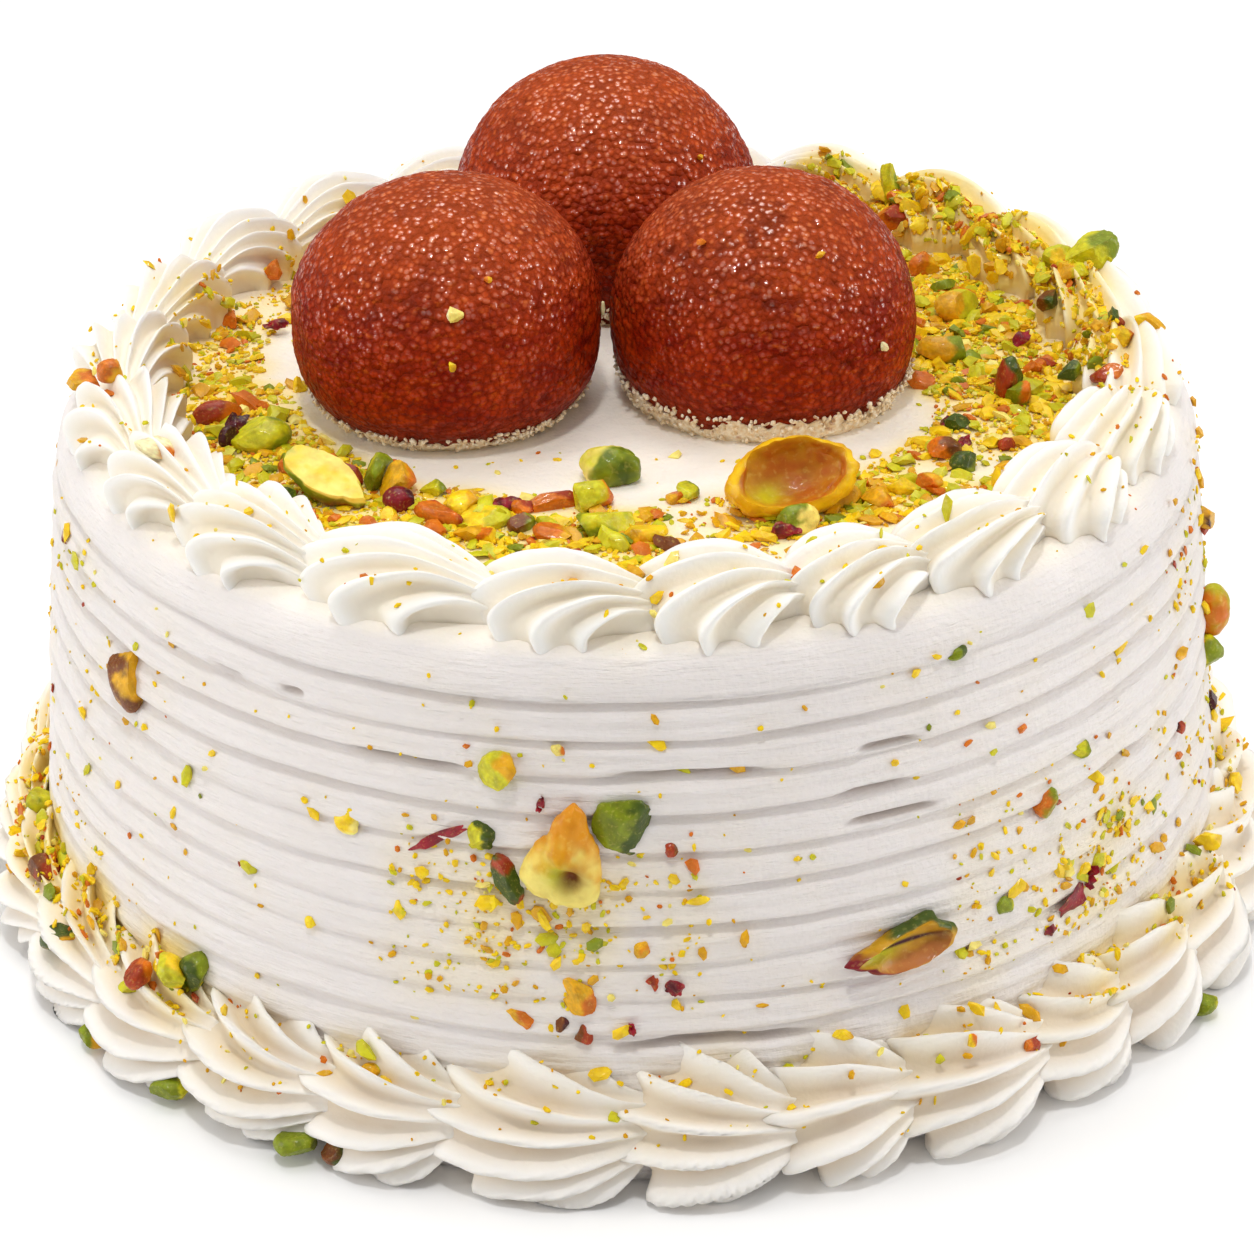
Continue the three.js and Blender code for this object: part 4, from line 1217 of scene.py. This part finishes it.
namedTop = [
    (-160, 56.5, (4.4, 3.2, 2.6), 10, "lime", "green"),
    (-97.5, 41, (3.6, 3.0, 2.9), 50, "lime", "orange"), (-94, 48.5, (4.2, 3.0, 2.4), 15, "green", "lime"),
    (-98.5, 57, (3.6, 1.5, 1.0), 12, "pale", "rust"), (-6, 57, (2.6, 2.0, 4.0), 80, "rust", "deepGreen"),
    (-9, 58.5, (2.4, 2.0, 2.4), 20, "green", "orange"), (8.5, 49, (4.4, 2.9, 2.6), 5, "gold", "green"),
    (24, 56, (3.8, 2.8, 2.6), 30, "gold", "lime"), (44, 55, (3.2, 2.6, 2.2), 60, "lime", "green"),
    (-141, 62, (3.4, 2.0, 1.6), -40, "deepGreen", "green"),
    (-141.5, 51.5, (3.2, 1.8, 2.0), -35, "crimson", "rust"),
    (-136.5, 48.5, (3.2, 2.2, 3.2), 70, "green", "lime"),
    (-132, 48.5, (2.9, 2.4, 3.2), 60, "gold", "orange"),
    (-128.5, 51.5, (2.3, 1.9, 2.0), -20, "crimson", "plum"),
    (-127, 45.5, (1.9, 1.6, 1.5), 0, "lime", "green"),
    (-160.5, 61, (1.9, 1.4, 2.2), 60, "plum", "crimson"),
    (-147.9, 53.4, (2.4, 1.8, 1.8), 20, "green", "lime"),
    (-121, 51.5, (4.4, 1.8, 1.9), -42, "orange", "rust"),
    (-118.5, 47.5, (3.4, 2.6, 1.9), 30, "yellow", "gold"),
    (-113.5, 49.5, (3.4, 2.8, 1.7), 10, "yellow", "lime"),
    (-104.5, 42.5, (4.2, 2.0, 1.7), 10, "orange", "rust"),
    (-109.5, 44.5, (2.0, 1.4, 1.3), -30, "orange", "rust"),
    (-107, 49.5, (2.2, 1.7, 1.5), 20, "brown", "green"),
    (-101.5, 51.5, (3.0, 1.9, 1.5), -25, "orange", "gold"),
    (-111, 54.5, (2.0, 1.6, 1.4), 0, "orange", "yellow"),
    (-88, 51, (3.6, 2.2, 1.7), 10, "gold", "yellow"), (-78, 39.5, (2.0, 1.8, 1.6), 60, "lime", "green"),
    (-80.5, 40.5, (1.2, 1.4, 1.2), 40, "gold", "orange"),
    (-64, 53.5, (3.0, 2.6, 2.4), 20, "green", "pale"),
    (-67.5, 54.5, (1.6, 1.4, 1.2), 0, "crimson", "rust"),
    (-54, 51, (2.8, 2.3, 2.0), 30, "yellow", "gold"), (-50, 55, (2.6, 2.2, 1.8), 0, "gold", "orange"),
    (-48, 45.5, (1.1, 2.6, 1.0), 25, "orange", "gold"), (-44, 54, (2.4, 1.8, 1.5), -10, "yellow", "lime"),
    (-41, 56, (2.2, 1.7, 1.5), 0, "orange", "gold"), (-32, 57, (2.4, 2.0, 1.6), 20, "deepGreen", "green"),
    (-30, 52.5, (2.4, 2.1, 1.8), 0, "orange", "brown"), (-24, 60, (1.4, 1.2, 1.1), 0, "rust", "crimson"),
    (35, 52, (2.8, 2.2, 1.9), 40, "green", "lime"), (40, 62, (3.0, 2.4, 2.1), 10, "orange", "gold"),
    (30, 48, (2.4, 2.0, 1.7), 30, "lime", "gold"), (52.9, 71, (1.8, 1.6, 4.0), 0, "lime", "green"),
    (50, 67, (3.2, 2.4, 2.4), 30, "orange", "rust"), (46, 62, (2.8, 2.2, 2.0), 10, "gold", "lime"),
    (18.5, 76, (4.6, 3.4, 3.0), 20, "lime", "green"), (16, 71, (3.4, 2.6, 2.2), 0, "gold", "lime"),
    (21, 72, (2.6, 2.2, 2.0), 50, "lime", "yellow"), (13, 66, (2.6, 2.0, 2.0), 70, "brown", "deepGreen"),
    (2, 78, (2.6, 2.0, 1.5), 20, "yellow", "gold"), (-4, 73, (2.2, 1.7, 1.3), 0, "yellow", "orange"),
    (-10, 71.5, (2.6, 1.5, 1.3), -20, "rust", "orange"),
    (-6, 66, (2.0, 1.6, 1.4), 30, "deepGreen", "green"),
    (-150.5, 75.5, (3.7, 2.2, 1.0), 20, "ivory", "orange"),
    (-169.1, 76, (2.1, 1.9, 1.7), 0, "orange", "gold"), (-170, 61, (3.6, 1.9, 1.9), 25, "rust", "orange"),
    (-176, 80, (2.6, 3.6, 1.2), 60, "gold", "orange"), (150, 58, (2.6, 2.0, 1.8), 0, "gold", "lime"),
    (112, 61, (2.8, 2.0, 1.8), 20, "green", "lime"), (67, 64, (2.6, 1.8, 1.6), 40, "crimson", "rust"),
    (125, 60, (2.4, 2.0, 1.8), 10, "orange", "gold"),
]
namedSide = [
    (-90.8, 54.3, (3.9, 4.9, 1.7), -12, "green", "deepGreen"),
    (-144.8, 57, (3.4, 5.0, 2.0), 12, "brown", "gold"),
    (-101.6, 61.2, (2.9, 2.9, 2.2), 20, "lime", "gold"),
    (-103.4, 51.4, (1.9, 2.3, 1.6), 0, "lime", "deepGreen"),
    (-101.1, 45.3, (2.0, 3.9, 1.8), 22, "deepGreen", "rust"),
    (-94.9, 28.3, (2.2, 3.1, 1.1), 25, "gold", "orange"),
    (-99.8, 24.6, (2.5, 1.4, 1.0), -35, "gold", "orange"),
    (-49.3, 44.5, (2.0, 2.2, 1.9), 0, "orange", "green"),
    (-44.1, 49.7, (1.7, 1.6, 1.3), 0, "lime", "green"),
    (-59.0, 71.8, (1.5, 1.0, 0.9), 10, "green", "deepGreen"),
    (-54.7, 31.5, (1.4, 1.7, 1.1), 10, "green", "lime"),
    (-116.1, 50, (2.1, 1.9, 0.8), 10, "yellow", "pale"),
    (-111.2, 38.4, (1.2, 1.6, 0.8), -10, "lime", "yellow"),
    (-86.6, 29.5, (1.1, 1.3, 0.8), 20, "crimson", "rust"),
    (-86.7, 50.2, (1.1, 1.1, 0.9), 0, "rust", "brown"),
    (-161.5, 67.8, (1.6, 1.2, 1.1), 0, "crimson", "rust"),
    (-25.1, 39.2, (1.0, 1.2, 0.9), 0, "plum", "rust"), (-8, 60.3, (2.0, 1.7, 2.4), -25, "gold", "plum"),
    (-10.5, 39.8, (2.4, 2.7, 2.2), 0, "lime", "green"), (-9, 30, (1.6, 1.8, 1.5), 0, "brown", "plum"),
    (-52, 57, (1.0, 0.9, 0.8), 0, "orange", "gold"), (-96.4, 24, (1.1, 1.2, 1.0), 0, "brown", "plum"),
    (-94.5, 22.5, (1.3, 1.6, 1.0), 30, "brown", "rust"), (-120, 33, (0.9, 1.0, 0.7), 0, "yellow", "gold"),
    (-89.2, 35.2, (1.2, 1.6, 0.8), 20, "gold", "orange"),
    (-96.5, 64.5, (0.9, 1.3, 0.6), 10, "pale", "orange"),
    (-46.5, 33, (1.3, 1.0, 0.8), 0, "yellow", "lime"), (-42, 30.5, (1.9, 1.4, 0.9), 20, "lime", "yellow"),
    (95, 46, (2.4, 3.0, 1.8), 0, "lime", "green"), (140, 55, (2.0, 2.6, 1.6), 20, "orange", "gold"),
    (60, 38, (2.2, 2.4, 1.6), 0, "green", "lime"), (168, 42, (2.6, 3.4, 1.8), 30, "brown", "gold"),
    (30, 58, (1.8, 2.2, 1.4), 0, "gold", "orange"), (118, 31, (1.6, 1.8, 1.2), 0, "crimson", "plum"),
]
# On the foot border and, where a height is given, under its edge
namedFoot = [
    (-135, 93, None, (3.6, 2.8, 2.4), 20, "lime", "yellow"),
    (-133, 91, None, (3.2, 2.6, 2.6), 60, "deepGreen", "green"),
    (-137, 91, None, (3.0, 2.4, 2.0), 0, "yellow", "gold"),
    (-138, 95, None, (2.6, 2.0, 1.8), 30, "rust", "orange"),
    (-152, 95.5, None, (2.6, 3.6, 2.4), 70, "deepGreen", "gold"),
    (-160, 94, None, (2.6, 2.2, 2.0), 0, "brown", "rust"),
    (-170, 92, None, (3.2, 2.4, 2.0), 30, "green", "lime"),
    (-118.8, 98, 2.3, (3.2, 2.6, 2.1), 10, "green", "deepGreen"),
    (-115.5, 97, 2.0, (2.0, 2.0, 1.8), 0, "brown", "deepGreen"),
    (-132.5, 98.3, 2.0, (2.8, 2.0, 1.8), 0, "green", "lime"),
    (-143.5, 98, 2.0, (2.6, 2.2, 1.8), 0, "green", "gold"),
    (-33, 99, 2.0, (2.4, 2.0, 1.8), 20, "green", "lime"),
    (-60.9, 95, None, (2.4, 1.2, 0.9), -8, "yellow", "orange"),
    (-54.2, 95, None, (1.5, 1.5, 1.0), 0, "orange", "rust"),
    (-72, 92, None, (1.5, 1.0, 0.8), 0, "yellow", "gold"),
    (-113, 93, None, (1.6, 1.1, 0.9), 0, "gold", "lime"),
    (60, 95, None, (2.6, 2.0, 1.8), 0, "lime", "green"),
    (120, 94, None, (2.6, 2.2, 1.8), 20, "orange", "gold"),
    (150, 96, None, (2.4, 2.0, 1.8), 0, "green", "lime"),
    (90, 98, 2.0, (2.2, 1.8, 1.8), 0, "green", "gold"),
]
# Sugar grains and crumbs that stick to the balls: ball, degrees east, degrees north
namedFleck = [
    ("left", -84, 25, (1.2, 1.5, 0.7), 20, "ivory", "pale"),
    ("left", -86, 4, (0.6, 0.9, 0.5), 0, "yellow", "gold"),
    ("right", -43, 5, (1.0, 0.7, 0.5), -30, "ivory", "ivory"),
    ("left", -68, 37, (0.6, 0.5, 0.4), 0, "orange", "gold"),
    ("right", -63, 45, (1.0, 0.5, 0.4), 30, "orange", "gold"),
    ("right", -129, 49, (0.9, 0.5, 0.4), 0, "orange", "orange"),
    ("back", -43, 34, (0.6, 0.5, 0.4), 0, "gold", "orange"),
    ("left", -2, 1, (0.5, 1.1, 0.4), 0, "ivory", "ivory"),
]
# Petals: where they lie, half sizes, turn, tip and colour
petals = [
    (onSide(-107.1, 50.6, 0.3), (4.8, 0.85, 0.28), 32, 0, "crimson"),
    (onSide(-46.3, 27.2, 0.4), (2.9, 1.7, 0.4), 22, 0, "crimson"),
    (onSide(-43.8, 29, 0.4), (0.8, 1.9, 0.35), -20, 0, "crimson"),
    (onSide(-88.4, 30.6, 0.2), (0.8, 1.0, 0.3), 15, 0, "rust"),
    (onSide(-86.4, 29.6, 0.4), (1.2, 1.3, 0.35), 35, 0, "crimson"),
    (onSide(-90.2, 23.6, 0.3), (0.6, 1.1, 0.3), 10, 0, "crimson"),
    (onSide(-98, 57, 0.3), (0.6, 1.2, 0.3), -20, 0, "crimson"),
    (onSide(-49.5, 24.6, 0.4), (1.1, 0.9, 0.3), 0, 0, "crimson"),
    (onTop(-162.5, 59.5, 2.2), (2.4, 1.5, 0.4), 60, 40, "plum"),
    (onTop(-66.5, 55.5, 1.3), (1.9, 1.3, 0.4), 0, 30, "crimson"),
    (onTop(-20, 50, 1.0), (1.6, 1.0, 0.35), 50, 20, "crimson"),
    (onTop(10, 61, 1.6), (1.8, 1.2, 0.4), 30, 30, "crimson"),
    (onTop(-112, 45.5, 1.4), (2.0, 1.2, 0.4), 5, 30, "crimson"),
    (onTop(-26, 54, 1.0), (1.4, 0.9, 0.3), 40, 20, "crimson"),
    (onTop(70, 63, 1.6), (2.2, 1.2, 0.4), 0, 30, "plum"),
    (onTop(160, 57, 1.6), (2.0, 1.1, 0.4), 0, 30, "crimson"),
]


namedShape = {"larger": 1.06, "detail": 3, "cuts": 12, "rough": 0.02, "cutShare": 0.5, "patch": 3.0}


def namedLumps(rows, spotOf, rng):
    # the named pieces as cut lumps: one side of each takes its second colour
    places, normals = (np.array(part) for part in zip(*(spotOf(row) for row in rows)))
    sizes = np.array([row[-4] for row in rows], float)
    spin = np.radians([row[-3] for row in rows])
    first = np.array([nutLook[row[-2]] for row in rows])
    second = np.array([nutLook[row[-1]] for row in rows])
    look = namedShape
    shape, triangles, tints = lumps(places, unit(normals), sizes * look["larger"], first, look["detail"],
                                    look["cuts"], rng, look["rough"], spin, look["cutShare"])
    each = len(shape) // len(rows)
    own = (shape - np.repeat(places, each, 0)) / np.repeat(sizes.max(1), each)[:, None]
    patch = noise(*(shape.T), namedShape["patch"], 61) + 0.9 * own[:, 0] + 0.25 * noise(*(shape.T), 0.8, 62)
    share = smoothStep(0.05, 0.4, patch)[:, None]
    lighter = 1 + 0.25 * noise(*(shape.T), 1.2, 63)[:, None]
    tints = (tints * (1 - share) + np.repeat(second, each, 0) * share) * lighter
    return shape, triangles, np.clip(tints, 0, 1)


def topSpot(row):
    # on the cream under it, half sunk
    turn = radians(row[0])
    place = np.array([[row[1] * cos(turn), row[1] * sin(turn), 0]])
    height, normal = restingPlace(place)
    lean = unit(normal[0] + (0, 0, 1.2))
    return place[0] + (0, 0, height[0]) + lean * row[2][2] * 0.5, lean


def ballSpot(row):
    # a place on a ball at degrees east and north
    centre, radius, squash = gulabJamuns["gulab_jamun_" + row[0]]
    east, north = radians(row[1]), radians(row[2])
    way = np.array([cos(north) * cos(east), cos(north) * sin(east), sin(north)])
    return centre + way * (radius + 0.4) * (1, 1, squash), way


def sideSpot(row):
    # on the side, a third of its thickness out
    axes, place = onSide(row[0], row[1], row[2][2] * 0.3 - 0.4)
    return place, axes[2] + (0, 0, 0.05)


def footSpot(row):
    # on the border, or at its own height under the border's edge
    turn, radius, height = radians(row[0]), row[1], row[2]
    place = np.array([[radius * cos(turn), radius * sin(turn), 0.0]])
    high, normal = restingPlace(place)
    if height is None:
        return place[0] + (0, 0, high[0] + row[3][2] * 0.35), normal[0]
    return place[0] + (0, 0, height), np.array([0, 0, 1.0])


choppedRng = np.random.default_rng(77)
named = (namedTop, topSpot), (namedSide, sideSpot), (namedFoot, footSpot), (namedFleck, ballSpot)
chopped = [namedLumps(rows, spotOf, choppedRng) for rows, spotOf in named]
joined("chopped_pistachios", chopped, choppedNut)


petalGrid = {"columns": 26, "rows": 10}


def petal(size, colour, seed):
    # a thin crumpled flake: a lens in plan, bent by noise, the same above and below
    columns, rows = petalGrid["columns"], petalGrid["rows"]
    turn = np.arange(columns) / columns * tau
    down = np.linspace(0.04, 0.96, rows)[:, None] * pi
    edge = 1 + 0.3 * noise(np.cos(turn) * 2, np.sin(turn) * 2, 0, 0.9, seed)
    x = np.sin(down) * np.cos(turn) * edge * size[0]
    y = np.sin(down) * np.sin(turn) * edge * size[1]
    z = np.cos(down) * size[2] * 0.6 + 0.55 * size[1] * noise(x, y, 0, size[0] * 0.7, seed + 1)
    points = np.stack([x, y, z], -1)
    loop, count = np.arange(columns), rows * columns
    sides = gridFaces(rows, columns, True)
    faces = [sides[:, :3], sides[:, [0, 2, 3]], fanFaces(count, loop[::-1]),
             fanFaces(count + 1, count - columns + loop)]
    points = np.concatenate([points.reshape(-1, 3), points[[0, -1]].mean(1)])
    shade = 1.15 + 0.8 * noise(points[:, :1], points[:, 1:2], 0, 0.8, seed + 2)
    return points, np.concatenate(faces), np.clip(nutLook[colour] * shade, 0, 1)


flakes = []
for seed, (petalSpot, size, turn, tip, colour) in enumerate(petals):
    points, faces, tints = petal(size, colour, 700 + 3 * seed)
    flakes.append((placed(points, petalSpot, turn, tip), faces, tints))
joined("rose_petals", flakes, choppedNut)
print("chopped nuts and petals made")

# Scattered nuts, flat chips and crumbs

scattered = np.random.default_rng(5)
joined("scattered_nuts", scatter("nuts", 1.0, 2.4, nutMix, 1, 6, 0.6, scattered), choppedNut)
chipParts = scatter("chips", 0.55, 1.7, chipMix, 0, 2, 0.36, scattered)
joined("nut_chips", chipParts, choppedNut)
crumbParts = scatter("crumbs", 0.2, 0.6, crumbMix, 0, 0, 0.5, scattered, ("top",))
sideCrumbs = scatter("crumbs", 0.22, 0.75, crumbMix, 0, 0, 0.45, scattered, ("foot", "side"))
# the top's crumbs in three pieces, by their field in topFields
crumbPieces = {"crumbs_left": crumbParts[:7], "crumbs_right": crumbParts[7:9],
               "crumbs_back": crumbParts[9:], "crumbs_side": sideCrumbs}
for name, parts in crumbPieces.items():
    joined(name, parts, crumbNut)
    print(name, sum(len(part[1]) for part in parts), "triangles")
crumbPlaces = [part[0] for part in crumbParts + sideCrumbs] + [part[0][::3] for part in chipParts]
crumbPlaces = np.concatenate(crumbPlaces)
print("crumbs scattered")

# Cream meshes, stained where crumbs lie on them

stainMap = {"cell": 2.0, "half": 110, "full": 1.5}


def stainAt(points):
    # how thickly crumbs lie round a point: counts in small boxes, blurred over the neighbours
    half, cell = stainMap["half"], stainMap["cell"]
    side = int(2 * half / cell)
    cells = np.clip(((crumbPlaces + half) / cell).astype(int), 1, side - 2)
    counts = np.zeros((side, side, side))
    np.add.at(counts, tuple(cells.T), 1 / 12)
    blurred = counts.copy()
    for axis in range(3):
        blurred = (blurred + np.roll(blurred, 1, axis) + np.roll(blurred, -1, axis)) / 3
    own = (points + half) / cell - 0.5
    low = np.clip(np.floor(own).astype(int), 0, side - 2)
    part = own - low
    total = 0
    for di in (0, 1):
        for dj in (0, 1):
            for dk in (0, 1):
                weight = np.prod(np.where((di, dj, dk), part, 1 - part), 1)
                total = total + weight * blurred[low[:, 0] + di, low[:, 1] + dj, low[:, 2] + dk]
    return np.clip(total / stainMap["full"], 0, 1)


# relief carries the side's painted groove shade
looks = {"relief": bodyShading, "stain": stainAt(bodyPoints)}
piece = newPiece("combed_cream_cake", bodyPoints, bodyFaces, wallCream, "cream", **looks)
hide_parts("cake_body")
for material, shells in ((rimCream, rimShells), (footCream, footShells)):
    for node, points, faces, shadings in shells:
        # relief carries the shell's painted valley shade
        looks = {"relief": shadings, "stain": stainAt(points)}
        piece = newPiece("piped_" + node, points, faces, material, "piped_cream", **looks)
        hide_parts(node)
print("cream meshes made")

# Floor, light and camera

stage = {"half": 2.0, "height": -0.0004, "dull": (0.96, 0.96, 0.96), "bright": (0.98, 0.98, 0.98)}
square = (-1, -1), (1, -1), (1, 1), (-1, 1)
corners = [(x * stage["half"], y * stage["half"], stage["height"]) for x, y in square]
floorMesh = bpy.data.meshes.new("floor")
floorMesh.from_pydata(corners, [], [(0, 1, 2, 3)])
floor = bpy.data.objects.new("floor", floorMesh)
bpy.context.scene.collection.objects.link(floor)
floorShader = Shader("pale_floor", Roughness=0.6)
cloud = floorShader.ramp(floorShader.noise(60, 2), 0.3, 0.7)
floorShader.finish(floorShader.mix(cloud, stage["dull"], stage["bright"]))
floorMesh.materials.append(floorShader.material)

studio = {
    "horizon": 0.22,  # the room's brightness low down
    "zenith": 0.72,
    "lights": [
        {"name": "overhead", "at": (-0.1, 0.4, 1.15), "aim": (0, 0, 0.05), "size": 0.8, "watts": 4.6},
        {"name": "key", "at": (-0.05, -0.38, 1.25), "aim": (0, 0, 0.09), "size": 0.13, "watts": 4.2},
        {"name": "left", "at": (-1.15, -0.2, 0.45), "aim": (0, 0, 0.05), "size": 0.6, "watts": 4.3},
        {"name": "right", "at": (1.15, -0.05, 0.45), "aim": (0, 0, 0.05), "size": 0.6, "watts": 4.5},
    ],
}
world = bpy.data.worlds.new("studio")
bpy.context.scene.world = world
world.use_nodes = True
sky = world.node_tree
skyWay = sky.nodes.new("ShaderNodeTexCoord")
skyAxes = sky.nodes.new("ShaderNodeSeparateXYZ")
skyRamp = sky.nodes.new("ShaderNodeMapRange")
skyRamp.interpolation_type = "SMOOTHSTEP"
skyRamp.inputs["To Min"].default_value = studio["horizon"]
skyRamp.inputs["To Max"].default_value = studio["zenith"]
sky.links.new(skyWay.outputs["Generated"], skyAxes.inputs[0])
sky.links.new(skyAxes.outputs["Z"], skyRamp.inputs["Value"])
sky.links.new(skyRamp.outputs[0], sky.nodes["Background"].inputs["Strength"])
sky.nodes["Background"].inputs["Color"].default_value = (1, 1, 1, 1)
for light in studio["lights"]:
    data = bpy.data.lights.new(light["name"], "AREA")
    data.shape, data.size, data.energy = "DISK", light["size"], light["watts"]
    lamp = bpy.data.objects.new(light["name"], data)
    bpy.context.scene.collection.objects.link(lamp)
    lamp.location = light["at"]
    lamp.rotation_euler = (Vector(light["aim"]) - Vector(light["at"])).to_track_quat("-Z", "Y").to_euler()

lensData = bpy.data.cameras.new("camera")
lensData.lens, lensData.sensor_width = camera["lens"], camera["sensor"]
lensData.shift_x, lensData.shift_y = camera["shift"]
lens = bpy.data.objects.new("camera", lensData)
bpy.context.scene.collection.objects.link(lens)
elevation, roll = radians(camera["elevation"]), radians(camera["roll"])
ahead = Vector((0, cos(elevation), -sin(elevation)))
right = Vector((1, 0, 0))
up = right.cross(ahead)
rolledRight, rolledUp = right * cos(roll) + up * sin(roll), up * cos(roll) - right * sin(roll)
turnTo = Matrix((rolledRight, rolledUp, -ahead)).transposed().to_4x4()
eye = -ahead * camera["distance"] * mm + Vector((0, 0, camera["aimHeight"] * mm))
lens.matrix_world = Matrix.Translation(eye) @ turnTo
bpy.context.scene.camera = lens
bpy.context.scene.view_settings.view_transform = "Standard"
print("studio set")
